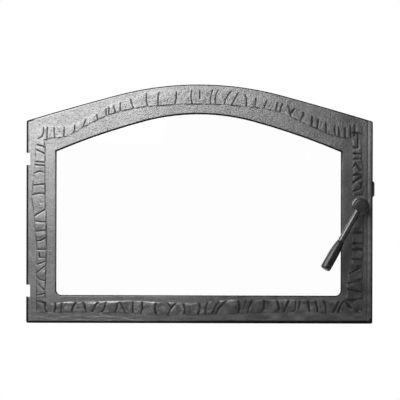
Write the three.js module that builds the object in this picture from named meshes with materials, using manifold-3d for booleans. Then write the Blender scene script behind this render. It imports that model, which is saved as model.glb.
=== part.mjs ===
// An arched cast-iron door for a fireplace insert, in millimetres.
// X runs to the right, Z up, and the front of the door looks along -Y.
// The door hangs at its left edge, and the origin is on the foot of the lower hinge arm.
import * as THREE from 'three';
import { mergeVertices } from 'three/addons/utils/BufferGeometryUtils.js';
import Module from 'manifold-3d';

const wasm = await Module();
wasm.setup();

// Clearances and allowances
const seam = 0.3;          // between two pieces that touch
const turning = 0.3;       // radial clearance round a shaft or pin
const overrun = 1;         // how far a cut passes the face that it opens
const rooting = 1;         // how deep a rib or boss is rooted in the plate

// Cast frame, seen from the front
const doorWidth = 660;
const doorHeight = 455.3;
const doorCrownRadius = 604;
const doorFlankRadius = 4800;
const doorCrownAngle = 14.8;
const doorCornerRadius = 3.6;
const leftRail = 57.4;
const rightRail = 60.8;
const bottomRail = 53.3;
const topRail = 57.1;
const windowCrownRadius = 396;
const windowFlankRadius = 1290;
const windowCrownAngle = 15;
const windowTopCornerRadius = 1.5;
const windowBottomCornerRadius = 9.5;
const edgeRound = 3;
const beadWidth = 7.6;
const beadRise = 1.5;
const beadRound = 1.2;

// Cast frame, in its depth
const plateThickness = 7;
const ribRise = 6.3;
const ribThickness = 2.4;

// Glass and gasket, with offsets measured outwards from the window's edge
const glassThickness = 4;
const glassOverlap = 8;
const gasketInset = 2;
const gasketWidth = 5.5;
const gasketThickness = 1.7;

// Glass clips and their screws
const clipLength = 24;
const clipThickness = 2;
const clipEdgeInset = 2.5;
const clipTail = 3.2;
const clipCornerRadius = 3;
const clipSpacing = 190;
const sideClipHeight = 188;
const clipScrewInset = 12.8;
const clipBossRadius = 4.2;
const clipScrewRadius = 2;
const clipScrewFloor = 2.5;
const clipScrewHeadRadius = 3.8;
const clipScrewHeadHeight = 2.8;
const clipScrewHeadRound = 0.8;
const clipScrewSocketRadius = 1.6;
const clipScrewSocketDepth = 1.5;

// Rope seal
const ropeDiameter = 9;
const ropeChannelInset = 18.8;

// Hinges
const hingePinInset = 16;
const hingePinDepth = 15.5;
const hingePinRadius = 4;
const hingePinHeadRadius = 6;
const hingePinHeadHeight = 2.5;
const hingePinTip = 1;
const hingeLugRadius = 9.5;
const hingeLugHeight = 14;
const notchHeight = 23;
const notchDepth = 7.5;
const lowerNotchHeight = 61.5;
const upperNotchDrop = 142.8;   // below the top of the arch
const knuckleRadius = 7.8;
const knuckleHeight = 19.8;
const hingeWasherRadius = 7.2;
const hingeWasherThickness = 1.2;
const hingeWebLeft = 4;
const hingeFootLength = 38;
const hingeFootThickness = 6;
const hingeFootDepth = 36;
const hingeScrewHoleRadius = 2.7;
const hingeScrewSinkRadius = 5;
const hingeScrewSinkDepth = 2.4;
const hingeScrewSpacing = 16;

// Handle
const spindleInset = 24;
const spindleHeight = 225;
const handleLean = 29.5;
const handleSlope = 12;
const rosetteRadius = 16;
const rosetteThickness = 2.8;
const rosetteRound = 1.4;
const hubRadius = 12.4;
const hubLength = 25;
const hubRound = 5;
const hubFloor = 5;
const hubPinRadius = 1.5;
const hubPinDepth = 7.5;
const rodDepth = 17;
const rodRoot = 8;
const rodLength = 70.5;
const rodRootRadius = 5.5;
const rodTipRadius = 4.2;
const rodTailRadius = 3;
const rodTailLength = 28;
const collarRadius = 5.7;
const collarLength = 2.2;
const gripLength = 58.5;
const gripStartRadius = 5.4;
const gripEndRadius = 8.7;
const gripShoulder = 9;
const gripRound = 3.4;

// Latch
const spindleRadius = 4;
const spindleFlat = 3.2;
const spindleEnd = 1.8;
const spindleBossRadius = 8.4;
const spindleBossRise = 8;
const bushRadius = 5.5;
const springWasherRadius = 6;
const springWasherThickness = 2;
const camThickness = 6;
const camHubRadius = 9.4;
const camTipReach = 4.5;
const camTipRise = 19.6;
const camTipHeight = 26.6;
const camTipWidth = 12;
const camTipRound = 4;
const latchSwing = 45;
const stopToothPlace = -60;
const stopToothWidth = 3;
const latchWasherRadius = 8;
const latchWasherThickness = 1.6;
const latchNutRadius = 7.5;
const latchNutHeight = 6.5;

// Counts of flat faces
const crownSteps = 14;
const flankSteps = 5;
const cornerSteps = 4;
const roundingSteps = 3;
const roundSides = 24;
const smallSides = 16;
const ropeSides = 10;
const hexSides = 6;

// Sizes that follow from the ones above
const right = doorWidth / 2;
const left = -right;
const upperNotchHeight = doorHeight - upperNotchDrop;
const ribBack = plateThickness + ribRise;
const gasketFront = plateThickness + seam;
const gasketBack = gasketFront + gasketThickness;
const glassFront = gasketBack + seam;
const glassBack = glassFront + glassThickness;
const clipFront = Math.max(glassBack, ribBack) + seam;
const clipBack = clipFront + clipThickness;
const ropeChannelWidth = ropeDiameter + 2 * seam;
const pinX = left + hingePinInset;
const hingeWebRight = knuckleRadius;
const hingeFootEnd = pinX - hingeWebLeft + hingeFootLength;
const hingeFootMiddle = (pinX + hingeWebRight + hingeFootEnd) / 2;
const spindleX = right - spindleInset;
const spindleBossBack = plateThickness + spindleBossRise;
const springWasherFront = spindleBossBack + seam;
const camFront = springWasherFront + springWasherThickness + seam;
const camBack = camFront + camThickness;
const latchWasherFront = camBack + seam;
const latchNutFront = latchWasherFront + latchWasherThickness + seam;
const latchNutBack = latchNutFront + latchNutHeight;
const stopToothInner = springWasherRadius + seam;
const camNotchRadius = stopToothInner - seam;
const hubBack = -(rosetteThickness + 2 * seam);
const hubFront = hubBack - hubLength;
const hubBoreEnd = hubFront + hubFloor;
const rodEnd = rodRoot + rodLength;
const gripStart = rodEnd + collarLength + 2 * seam;

const windowArch = {
  centre: (leftRail - rightRail) / 2,
  halfWidth: (doorWidth - leftRail - rightRail) / 2,
  bottom: bottomRail,
  top: doorHeight - topRail,
  crownRadius: windowCrownRadius,
  flankRadius: windowFlankRadius,
  crownAngle: THREE.MathUtils.degToRad(windowCrownAngle),
  topCorner: windowTopCornerRadius,
  bottomCorner: windowBottomCornerRadius,
};
const doorArch = {
  centre: 0,
  halfWidth: doorWidth / 2,
  bottom: 0,
  top: doorHeight,
  crownRadius: doorCrownRadius,
  flankRadius: doorFlankRadius,
  crownAngle: THREE.MathUtils.degToRad(doorCrownAngle),
  topCorner: doorCornerRadius,
  bottomCorner: doorCornerRadius,
};

// Outlines in X and Z, counter-clockwise

// Centre of the wide arc that carries the arch on from its crown to the right side
function flankCentre(arch) {
  const shift = arch.crownRadius - arch.flankRadius;
  return new THREE.Vector2(
    shift * Math.sin(arch.crownAngle),
    arch.top - arch.crownRadius + shift * Math.cos(arch.crownAngle),
  );
}

// Place on an arch grown outwards, at a distance across from its centre line,
// with the turn about Y that points local Z along the arch's outward normal
function archPlace(arch, grow, across) {
  const side = Math.sign(across);
  const crown = arch.crownRadius + grow;
  const inCrown = Math.abs(across) < crown * Math.sin(arch.crownAngle);
  const flank = flankCentre(arch);
  const radius = inCrown ? crown : arch.flankRadius + grow;
  const centreX = inCrown ? 0 : side * flank.x;
  const centreZ = inCrown ? arch.top - arch.crownRadius : flank.y;
  const rise = Math.sqrt(radius ** 2 - (across - centreX) ** 2);
  return { x: arch.centre + across, z: centreZ + rise, turn: Math.atan2(across - centreX, rise) };
}

// A closed outline with the arch at its top, grown outwards by one distance
function archedOutline(arch, grow = 0) {
  const side = arch.halfWidth + grow;
  const low = arch.bottomCorner + grow;
  const high = arch.topCorner + grow;
  const flank = arch.flankRadius + grow;
  const crown = arch.crownRadius + grow;
  const centre = flankCentre(arch);
  const cornerX = side - high;
  const cornerAngle = Math.acos((cornerX - centre.x) / (flank - high));
  const cornerZ = centre.y + (flank - high) * Math.sin(cornerAngle);
  const crownStart = Math.PI / 2 - arch.crownAngle;
  const half = [
    ...arc(side - low, arch.bottom - grow + low, low, -Math.PI / 2, 0, cornerSteps),
    new THREE.Vector2(side, arch.bottom - grow + low),
    ...arc(cornerX, cornerZ, high, 0, cornerAngle, cornerSteps),
    ...arc(centre.x, centre.y, flank, cornerAngle, crownStart, flankSteps),
    ...arc(0, arch.top - arch.crownRadius, crown, crownStart, Math.PI / 2, crownSteps / 2),
  ];
  const mirrored = half.map((point) => new THREE.Vector2(-point.x, point.y)).reverse();
  const whole = [...half, new THREE.Vector2(0, arch.top + grow), ...mirrored];
  return whole.map((point) => new THREE.Vector2(point.x + arch.centre, point.y));
}

// Points of an arc, without its last one
function arc(x, z, radius, from, to, steps) {
  return Array.from({ length: steps }, (_, i) => {
    const angle = from + (to - from) * i / steps;
    return new THREE.Vector2(x + radius * Math.cos(angle), z + radius * Math.sin(angle));
  });
}

function rectangle(x0, x1, z0, z1) {
  return [[x0, z0], [x1, z0], [x1, z1], [x0, z1]].map(([x, z]) => new THREE.Vector2(x, z));
}

// Corners of [x, z, radius], each rounded by its own radius
function roundedOutline(corners) {
  return corners.flatMap(([x, z, radius], i) => {
    const corner = new THREE.Vector2(x, z);
    if (radius === 0) return [corner];
    const before = new THREE.Vector2(...corners.at(i - 1)).sub(corner).normalize();
    const after = new THREE.Vector2(...corners[(i + 1) % corners.length]).sub(corner).normalize();
    const reach = radius / Math.tan(before.angleTo(after) / 2);
    const start = corner.clone().addScaledVector(before, reach);
    const end = corner.clone().addScaledVector(after, reach);
    return new THREE.QuadraticBezierCurve(start, corner, end).getPoints(cornerSteps);
  });
}

// Part of a ring between two angles
function sector(inner, outer, from, to) {
  const steps = cornerSteps;
  return [
    ...arc(0, 0, outer, from, to, steps), ...arc(0, 0, outer, to, from, steps).slice(0, 1),
    ...arc(0, 0, inner, to, from, steps), ...arc(0, 0, inner, from, to, steps).slice(0, 1),
  ];
}

// Where a line from a far point touches a circle round the origin
function touchPoint(far, radius, side) {
  const angle = far.angle() + side * Math.acos(radius / far.length());
  return [radius * Math.cos(angle), radius * Math.sin(angle)];
}

// Solids

function toSolid(geometry) {
  const bare = geometry.clone();
  bare.deleteAttribute('normal');
  bare.deleteAttribute('uv');
  const merged = mergeVertices(bare);
  return new wasm.Manifold(new wasm.Mesh({
    numProp: 3,
    vertProperties: Float32Array.from(merged.attributes.position.array),
    triVerts: Uint32Array.from(merged.index.array),
  }));
}

function toGeometry(solid) {
  const { vertProperties, triVerts } = solid.getMesh();
  const geometry = new THREE.BufferGeometry();
  geometry.setAttribute('position', new THREE.BufferAttribute(vertProperties, 3));
  geometry.setIndex(new THREE.BufferAttribute(triVerts, 1));
  geometry.computeVertexNormals();
  return geometry;
}

function join(...solids) {
  return solids.reduce((whole, solid) => whole.add(solid));
}

function cut(body, ...tools) {
  return tools.reduce((whole, tool) => whole.subtract(tool), body);
}

// An outline filled from one depth to another
function slabShape(outline, front, back) {
  const geometry = new THREE.ExtrudeGeometry(new THREE.Shape(outline), {
    depth: back - front, bevelEnabled: false,
  });
  geometry.rotateX(Math.PI / 2);
  geometry.translate(0, back, 0);
  return geometry;
}

function slab(outline, front, back) {
  return toSolid(slabShape(outline, front, back));
}

// The same with its front edges rounded, on the outline and round its hole
function roundedSlab(outline, hole, front, back, round) {
  const shape = new THREE.Shape(outline);
  if (hole) shape.holes.push(new THREE.Path(hole));
  const geometry = new THREE.ExtrudeGeometry(shape, {
    depth: back - front, bevelEnabled: true, bevelThickness: round, bevelSize: round,
    bevelOffset: -round, bevelSegments: roundingSteps,
  });
  geometry.rotateX(Math.PI / 2);
  geometry.translate(0, back + round, 0);
  const field = rectangle(-doorWidth, doorWidth, -doorHeight, 2 * doorHeight);
  return toSolid(geometry).subtract(slab(field, back, back + 2 * round + overrun));
}

// A ring round the window, from a closed section of [outward offset, depth]
function windowRing(section) {
  const loops = section.map(([grow, depth]) => (
    archedOutline(windowArch, grow).map((point) => [point.x, depth, point.y])
  ));
  const count = loops[0].length;
  const indices = loops.flatMap((_, k) => {
    const next = (k + 1) % loops.length;
    return loops[k].flatMap((__, i) => {
      const j = (i + 1) % count;
      const [a, b] = [k * count + i, k * count + j];
      const [c, d] = [next * count + j, next * count + i];
      return [a, c, b, a, d, c];
    });
  });
  const geometry = new THREE.BufferGeometry();
  geometry.setAttribute('position', new THREE.Float32BufferAttribute(loops.flat(2), 3));
  geometry.setIndex(indices);
  return geometry;
}

function flatSection(inner, outer, front, back) {
  return [[inner, front], [outer, front], [outer, back], [inner, back]];
}

// A cylinder along Y, centred on a place in X and Z
function pegShape(radius, front, back, sides = roundSides, x = 0, z = 0) {
  const geometry = new THREE.CylinderGeometry(radius, radius, back - front, sides);
  geometry.translate(x, (front + back) / 2, z);
  return geometry;
}

function peg(radius, front, back, sides, x, z) {
  return toSolid(pegShape(radius, front, back, sides, x, z));
}

// An upright cylinder on the hinge line
function hingePost(radius, bottom, top) {
  const geometry = new THREE.CylinderGeometry(radius, radius, top - bottom, roundSides);
  geometry.rotateX(Math.PI / 2);
  geometry.translate(pinX, hingePinDepth, (bottom + top) / 2);
  return toSolid(geometry);
}

function block(x0, x1, y0, y1, z0, z1) {
  const geometry = new THREE.BoxGeometry(x1 - x0, y1 - y0, z1 - z0);
  geometry.translate((x0 + x1) / 2, (y0 + y1) / 2, (z0 + z1) / 2);
  return toSolid(geometry);
}

// A solid turned round Y from points of [radius, depth], and a quarter round of its profile
function turned(profile, sides = roundSides) {
  return new THREE.LatheGeometry(profile.map(([r, y]) => new THREE.Vector2(r, y)), sides);
}

function quarter(r, y, radius, from, steps = roundingSteps) {
  return Array.from({ length: steps + 1 }, (_, i) => {
    const angle = from + (Math.PI / 2) * i / steps;
    return [r + radius * Math.cos(angle), y + radius * Math.sin(angle)];
  });
}

// Sleeve or washer, closed on itself
function sleeve(inner, outer, front, back, sides) {
  return turned([[inner, front], [outer, front], [outer, back], [inner, back], [inner, front]], sides);
}

// Finishes
const castIron = new THREE.MeshStandardMaterial({ color: 0x5b5c5e, roughness: 0.55, metalness: 0.6 });
const blackSteel = new THREE.MeshStandardMaterial({ color: 0x1b1b1c, roughness: 0.35, metalness: 0.7 });
const gripBlack = new THREE.MeshStandardMaterial({ color: 0x101011, roughness: 0.3, metalness: 0.1 });
const plainSteel = new THREE.MeshStandardMaterial({ color: 0x9a9c9e, roughness: 0.35, metalness: 0.9 });
const bronze = new THREE.MeshStandardMaterial({ color: 0x9c7a45, roughness: 0.4, metalness: 0.9 });
const rope = new THREE.MeshStandardMaterial({ color: 0x3c3c3d, roughness: 0.95, metalness: 0 });
const tape = new THREE.MeshStandardMaterial({ color: 0xd9d6cd, roughness: 0.95, metalness: 0 });
const glass = new THREE.MeshStandardMaterial({
  color: 0xf2f4f2, roughness: 0.05, metalness: 0, transparent: true, opacity: 0.2,
});

function piece(name, geometry, material) {
  const mesh = new THREE.Mesh(geometry, material);
  mesh.name = name;
  return mesh;
}

// Places shared by the frame and what is fixed to it

const notches = [
  { name: 'lower', bottom: lowerNotchHeight - notchHeight / 2, top: lowerNotchHeight + notchHeight / 2 },
  { name: 'upper', bottom: upperNotchHeight - notchHeight / 2, top: upperNotchHeight + notchHeight / 2 },
];

function clipSeats() {
  const across = [-clipSpacing, 0, clipSpacing];
  const sideReach = windowArch.halfWidth + clipScrewInset;
  const top = across.map((x) => archPlace(windowArch, clipScrewInset, x));
  const bottom = across.map((x) => (
    { x: windowArch.centre + x, z: bottomRail - clipScrewInset, turn: Math.PI }
  ));
  const sides = [-1, 1].map((side) => (
    { x: windowArch.centre + side * sideReach, z: sideClipHeight, turn: side * Math.PI / 2 }
  ));
  return [...top, sides[1], ...bottom.reverse(), sides[0]];
}

// The cast frame

function plate() {
  const flat = roundedSlab(archedOutline(doorArch), archedOutline(windowArch), 0, plateThickness, edgeRound);
  const raised = roundedSlab(archedOutline(doorArch), null, -beadRise, edgeRound + overrun, beadRound);
  const strip = block(right - beadWidth, right + overrun, -beadRise - overrun, plateThickness,
    -overrun, doorHeight);
  return flat.add(raised.intersect(strip));
}

function ropeRibs() {
  const outerInset = ropeChannelInset + ropeChannelWidth;
  return [ropeChannelInset - ribThickness, outerInset].map((inset) => (
    toSolid(windowRing(flatSection(inset, inset + ribThickness, plateThickness - rooting, ribBack)))
  ));
}

function hingeLug(bottom, top) {
  const web = block(pinX - hingeLugRadius, pinX + hingeLugRadius, plateThickness - rooting,
    hingePinDepth, bottom, top);
  return web.add(hingePost(hingeLugRadius, bottom, top));
}

// The tooth on the spindle boss that stops the latch at both ends of its swing
function stopTooth() {
  const place = THREE.MathUtils.degToRad(stopToothPlace);
  const half = stopToothWidth / 2 / stopToothInner;
  const outline = sector(stopToothInner, spindleBossRadius, place - half, place + half);
  return slab(outline, spindleBossBack - rooting, camFront + camThickness / 2)
    .translate([spindleX, 0, spindleHeight]);
}

function doorFrame() {
  const seats = clipSeats();
  const clipBosses = seats.map(({ x, z }) => (
    peg(clipBossRadius, plateThickness - rooting, ribBack, smallSides, x, z)
  ));
  const clipHoles = seats.map(({ x, z }) => (
    peg(clipScrewRadius + turning, clipScrewFloor, ribBack + overrun, smallSides, x, z)
  ));
  const lugs = notches.flatMap(({ bottom, top }) => [
    hingeLug(bottom - hingeLugHeight, bottom), hingeLug(top, top + hingeLugHeight),
  ]);
  const pinBores = notches.map(({ bottom, top }) => (
    hingePost(hingePinRadius + turning, bottom - hingeLugHeight - overrun, top + hingeLugHeight + overrun)
  ));
  const gaps = notches.map(({ bottom, top }) => (
    block(left - overrun, left + notchDepth, -overrun, plateThickness + overrun, bottom, top)
  ));
  const spindleBoss = peg(spindleBossRadius, plateThickness - rooting, spindleBossBack, roundSides,
    spindleX, spindleHeight);
  const spindleBore = peg(bushRadius + seam, -overrun, spindleBossBack + overrun, roundSides,
    spindleX, spindleHeight);
  const casting = join(plate(), ...ropeRibs(), ...clipBosses, ...lugs, spindleBoss);
  return cut(casting, ...clipHoles, ...pinBores, ...gaps, spindleBore).add(stopTooth());
}

// Window and seals

function ropeSection() {
  const middle = ropeChannelInset + ropeChannelWidth / 2;
  const depth = plateThickness + seam + ropeDiameter / 2;
  return Array.from({ length: ropeSides }, (_, i) => {
    const angle = 2 * Math.PI * (i + 0.5) / ropeSides;
    const reach = ropeDiameter / 2;
    return [middle + reach * Math.cos(angle), depth + reach * Math.sin(angle)];
  });
}

function glazing() {
  const gasketSection = flatSection(gasketInset, gasketInset + gasketWidth, gasketFront, gasketBack);
  const pane = slabShape(archedOutline(windowArch, glassOverlap), glassFront, glassBack);
  return [
    piece('glass_pane', pane, glass),
    piece('glass_gasket', windowRing(gasketSection), tape),
    piece('door_rope', windowRing(ropeSection()), rope),
  ];
}

function clipPlate() {
  const half = clipLength / 2;
  const reach = clipScrewInset - clipEdgeInset;
  const outline = roundedOutline([
    [-half, -reach, clipCornerRadius], [half, -reach, clipCornerRadius],
    [half, clipTail, 0], [-half, clipTail, 0],
  ]);
  const hole = peg(clipScrewRadius + turning, clipFront - overrun, clipBack + overrun, smallSides);
  return toGeometry(cut(slab(outline, clipFront, clipBack), hole));
}

function clipScrew() {
  const headFront = clipBack + seam;
  const headBack = headFront + clipScrewHeadHeight;
  const rim = quarter(clipScrewHeadRadius - clipScrewHeadRound, headBack - clipScrewHeadRound,
    clipScrewHeadRound, 0, 2);
  const body = turned([
    [0, clipScrewFloor + seam], [clipScrewRadius, clipScrewFloor + seam], [clipScrewRadius, headFront],
    [clipScrewHeadRadius, headFront], ...rim, [0, headBack],
  ], smallSides);
  const socket = peg(clipScrewSocketRadius, headBack - clipScrewSocketDepth, headBack + overrun, hexSides);
  return toGeometry(cut(toSolid(body), socket));
}

function glassClips() {
  const plateGeometry = clipPlate();
  const screwGeometry = clipScrew();
  return clipSeats().flatMap(({ x, z, turn }, i) => {
    const clip = piece(`glass_clip_${i + 1}`, plateGeometry, plainSteel);
    const screw = piece(`glass_clip_screw_${i + 1}`, screwGeometry, plainSteel);
    [clip, screw].forEach((mesh) => {
      mesh.position.set(x, 0, z);
      mesh.rotation.y = turn;
    });
    return [clip, screw];
  });
}

// Hinges

function hingePin({ bottom, top }) {
  const lugTop = top + hingeLugHeight;
  const tip = bottom - hingeLugHeight;
  const headTop = lugTop + seam + hingePinHeadHeight;
  const geometry = turned([
    [0, tip], [hingePinRadius - hingePinTip, tip], [hingePinRadius, tip + hingePinTip],
    [hingePinRadius, lugTop + seam], [hingePinHeadRadius, lugTop + seam],
    [hingePinHeadRadius, headTop - hingePinTip], [hingePinHeadRadius - hingePinTip, headTop], [0, headTop],
  ]);
  geometry.rotateX(Math.PI / 2);
  return geometry;
}

function hingeWasher({ top }) {
  const high = top - seam;
  const geometry = sleeve(hingePinRadius + turning, hingeWasherRadius, high - hingeWasherThickness, high);
  geometry.rotateX(Math.PI / 2);
  return geometry;
}

function hingeArm({ top }) {
  const high = top - 2 * seam - hingeWasherThickness;
  const low = high - knuckleHeight;
  const footFront = hingeFootDepth - hingeFootThickness;
  const knuckle = hingePost(knuckleRadius, low, high);
  const web = block(pinX - hingeWebLeft, pinX + hingeWebRight, hingePinDepth, hingeFootDepth, low, high);
  const foot = block(pinX - hingeWebLeft, hingeFootEnd, footFront, hingeFootDepth, low, high);
  const bore = hingePost(hingePinRadius + turning, low - overrun, high + overrun);
  const screwHoles = [-1, 1].flatMap((side) => {
    const x = hingeFootMiddle + side * hingeScrewSpacing / 2;
    const z = (low + high) / 2;
    const sink = new THREE.CylinderGeometry(hingeScrewHoleRadius, hingeScrewSinkRadius,
      hingeScrewSinkDepth, smallSides);
    sink.translate(x, footFront + hingeScrewSinkDepth / 2, z);
    return [
      peg(hingeScrewHoleRadius, footFront - overrun, hingeFootDepth + overrun, smallSides, x, z),
      toSolid(sink),
    ];
  });
  return toGeometry(cut(join(knuckle, web, foot), bore, ...screwHoles));
}

function fixedHinges() {
  return notches.flatMap((notch) => {
    const washer = piece(`hinge_washer_${notch.name}`, hingeWasher(notch), plainSteel);
    washer.position.set(pinX, hingePinDepth, 0);
    return [piece(`hinge_arm_${notch.name}`, hingeArm(notch), castIron), washer];
  });
}

function hingePins() {
  return notches.map((notch) => {
    const pin = piece(`hinge_pin_${notch.name}`, hingePin(notch), plainSteel);
    pin.position.set(pinX, hingePinDepth, 0);
    return pin;
  });
}

// Handle, with the spindle's axis as its own Y axis

// Turns local Y down along the handle, leaning to the left and sloping forward
const handleTurn = new THREE.Matrix4()
  .makeTranslation(0, -rodDepth, 0)
  .multiply(new THREE.Matrix4().makeRotationY(THREE.MathUtils.degToRad(handleLean)))
  .multiply(new THREE.Matrix4().makeRotationX(-THREE.MathUtils.degToRad(90 + handleSlope)));

function hubPinTurn() {
  return new THREE.Matrix4()
    .makeRotationY(THREE.MathUtils.degToRad(handleLean))
    .multiply(new THREE.Matrix4().makeTranslation(0, -hubPinDepth, 0))
    .multiply(new THREE.Matrix4().makeRotationZ(Math.PI / 2));
}

function hubPinBore() {
  return toSolid(pegShape(hubPinRadius + seam, -hubRadius - overrun, hubRadius + overrun, smallSides)
    .applyMatrix4(hubPinTurn()));
}

function rosette() {
  const back = -seam;
  const front = back - rosetteThickness;
  const rim = quarter(rosetteRadius - rosetteRound, front + rosetteRound, rosetteRound, -Math.PI / 2);
  const bore = spindleRadius + turning;
  return turned([[bore, front], ...rim, [rosetteRadius, back], [bore, back], [bore, front]]);
}

function hub() {
  const rim = quarter(hubRadius - hubRound, hubFront + hubRound, hubRound, -Math.PI / 2);
  const body = toSolid(turned([[0, hubFront], ...rim, [hubRadius, hubBack], [0, hubBack]]));
  const bore = peg(spindleRadius + seam, hubBoreEnd - seam, hubBack + overrun);
  const socketReach = hubRadius + rodRoot;
  const socket = toSolid(pegShape(rodRootRadius + seam, rodRoot - seam, socketReach).applyMatrix4(handleTurn));
  return toGeometry(cut(body, bore, socket, hubPinBore()));
}

function handleRod() {
  const taper = [
    [0, rodRoot], [rodRootRadius, rodRoot], [rodRootRadius, hubRadius], [rodTipRadius, rodEnd],
    [rodTailRadius, rodEnd], [rodTailRadius, rodEnd + rodTailLength], [0, rodEnd + rodTailLength],
  ];
  return turned(taper);
}

function handleCollar() {
  const start = rodEnd + seam;
  return sleeve(rodTailRadius + turning, collarRadius, start, start + collarLength);
}

function handleGrip() {
  const end = gripStart + gripLength;
  const tailEnd = rodEnd + rodTailLength;
  const cap = quarter(gripEndRadius - gripRound, end - gripRound, gripRound, 0);
  const swell = [
    [gripStartRadius, gripStart],
    [(gripStartRadius + gripEndRadius) / 2, gripStart + gripShoulder],
    [gripEndRadius, end - gripShoulder],
  ];
  const bore = rodTailRadius + turning;
  return turned([
    [0, tailEnd + seam], [bore, tailEnd + seam], [bore, gripStart], ...swell, ...cap, [0, end],
  ]);
}

// Latch

function hubPin() {
  return pegShape(hubPinRadius, -hubRadius + seam, hubRadius - seam, smallSides).applyMatrix4(hubPinTurn());
}

// The cam and the nut end of the spindle have two flats
function flats(front, back, play) {
  const half = spindleFlat + play;
  return block(-spindleRadius - overrun, spindleRadius + overrun, front, back, -half, half);
}

function latchSpindle() {
  const shaft = peg(spindleRadius, hubBoreEnd, latchNutBack + spindleEnd);
  const flatted = peg(spindleRadius + overrun, camFront - seam, camBack + seam)
    .subtract(flats(camFront - seam - overrun, camBack + seam + overrun, 0));
  return toGeometry(cut(shaft, flatted, hubPinBore()));
}

function spindleBush() {
  return sleeve(spindleRadius + turning, bushRadius, seam, spindleBossBack);
}

// A hub on the spindle's flats and an arm whose tip passes the edge of the door
function latchCam() {
  const outer = spindleInset + camTipReach;
  const tipTop = camTipRise + camTipHeight;
  const lowFoot = touchPoint(new THREE.Vector2(outer, camTipRise), camHubRadius, -1);
  const highFoot = touchPoint(new THREE.Vector2(outer - camTipWidth, tipTop), camHubRadius, 1);
  const arm = roundedOutline([
    [0, 0, 0], [...lowFoot, 0], [outer, camTipRise, camTipRound], [outer, tipTop, camTipRound],
    [outer - camTipWidth, tipTop, camTipRound], [...highFoot, 0],
  ]);
  const bore = peg(spindleRadius + turning, camFront - overrun, camBack + overrun)
    .intersect(flats(camFront - overrun, camBack + overrun, turning));
  const place = THREE.MathUtils.degToRad(stopToothPlace);
  const half = (stopToothWidth / 2 + seam) / stopToothInner;
  const swing = THREE.MathUtils.degToRad(latchSwing);
  const notch = slab(sector(camNotchRadius, camHubRadius + overrun, place - half - swing, place + half),
    camFront - overrun, camBack + overrun);
  const body = peg(camHubRadius, camFront, camBack).add(slab(arm, camFront, camBack));
  return toGeometry(cut(body, bore, notch));
}

function latchNut() {
  const body = peg(latchNutRadius, latchNutFront, latchNutBack, hexSides);
  return toGeometry(cut(body, peg(spindleRadius + turning, latchNutFront - overrun, latchNutBack + overrun)));
}

function handleAndLatch() {
  const group = new THREE.Group();
  group.position.set(spindleX, 0, spindleHeight);
  const arm = new THREE.Group();
  arm.applyMatrix4(handleTurn);
  arm.add(
    piece('handle_rod', handleRod(), blackSteel),
    piece('handle_collar', handleCollar(), blackSteel),
    piece('handle_grip', handleGrip(), gripBlack),
  );
  const bore = spindleRadius + turning;
  const springWasher = sleeve(bore, springWasherRadius, springWasherFront,
    springWasherFront + springWasherThickness);
  const washer = sleeve(bore, latchWasherRadius, latchWasherFront, latchWasherFront + latchWasherThickness);
  group.add(
    arm,
    piece('handle_rosette', rosette(), blackSteel),
    piece('handle_hub', hub(), blackSteel),
    piece('handle_hub_pin', hubPin(), plainSteel),
    piece('latch_spindle', latchSpindle(), plainSteel),
    piece('spindle_bush', spindleBush(), bronze),
    piece('latch_spring_washer', springWasher, plainSteel),
    piece('latch_cam', latchCam(), plainSteel),
    piece('latch_washer', washer, plainSteel),
    piece('latch_nut', latchNut(), plainSteel),
  );
  return group;
}

// Assembly

const insertDoor = new THREE.Group();
insertDoor.position.set(-hingeFootMiddle, -hingeFootDepth, -lowerNotchHeight);
insertDoor.add(
  piece('door_frame', toGeometry(doorFrame()), castIron),
  ...glazing(),
  ...glassClips(),
  ...fixedHinges(),
  ...hingePins(),
  handleAndLatch(),
);

export default insertDoor;
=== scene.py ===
import math
import bmesh
import bpy
import numpy as np
from mathutils import Matrix, Vector


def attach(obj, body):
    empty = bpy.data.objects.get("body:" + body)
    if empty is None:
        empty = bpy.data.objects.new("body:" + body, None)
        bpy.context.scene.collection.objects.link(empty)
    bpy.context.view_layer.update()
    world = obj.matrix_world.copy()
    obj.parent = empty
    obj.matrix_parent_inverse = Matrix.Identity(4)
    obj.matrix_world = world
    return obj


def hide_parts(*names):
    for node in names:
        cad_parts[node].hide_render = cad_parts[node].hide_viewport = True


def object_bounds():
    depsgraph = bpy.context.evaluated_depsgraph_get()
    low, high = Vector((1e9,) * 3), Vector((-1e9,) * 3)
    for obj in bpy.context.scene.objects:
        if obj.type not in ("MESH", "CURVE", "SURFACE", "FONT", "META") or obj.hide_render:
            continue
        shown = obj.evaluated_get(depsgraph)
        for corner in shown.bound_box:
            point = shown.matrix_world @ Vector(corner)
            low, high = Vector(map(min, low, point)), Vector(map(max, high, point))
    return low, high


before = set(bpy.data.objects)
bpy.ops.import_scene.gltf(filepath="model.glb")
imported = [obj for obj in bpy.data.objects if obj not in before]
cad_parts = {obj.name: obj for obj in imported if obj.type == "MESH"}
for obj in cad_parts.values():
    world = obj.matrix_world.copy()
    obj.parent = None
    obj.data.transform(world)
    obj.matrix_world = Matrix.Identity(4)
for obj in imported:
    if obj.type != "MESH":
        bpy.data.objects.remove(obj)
cadLow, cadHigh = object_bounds()
print("frame loaded:", len(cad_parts), "nodes")

# Lengths are in millimetres from the middle of the door's lower front edge, as the maker
# would measure them: x to the right, y into the stove, z up. toRow turns them into metres
# from the foot of the lower hinge arm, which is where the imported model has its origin.
hingeFoot = np.array([-293.1, 36.0, 61.5])

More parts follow.
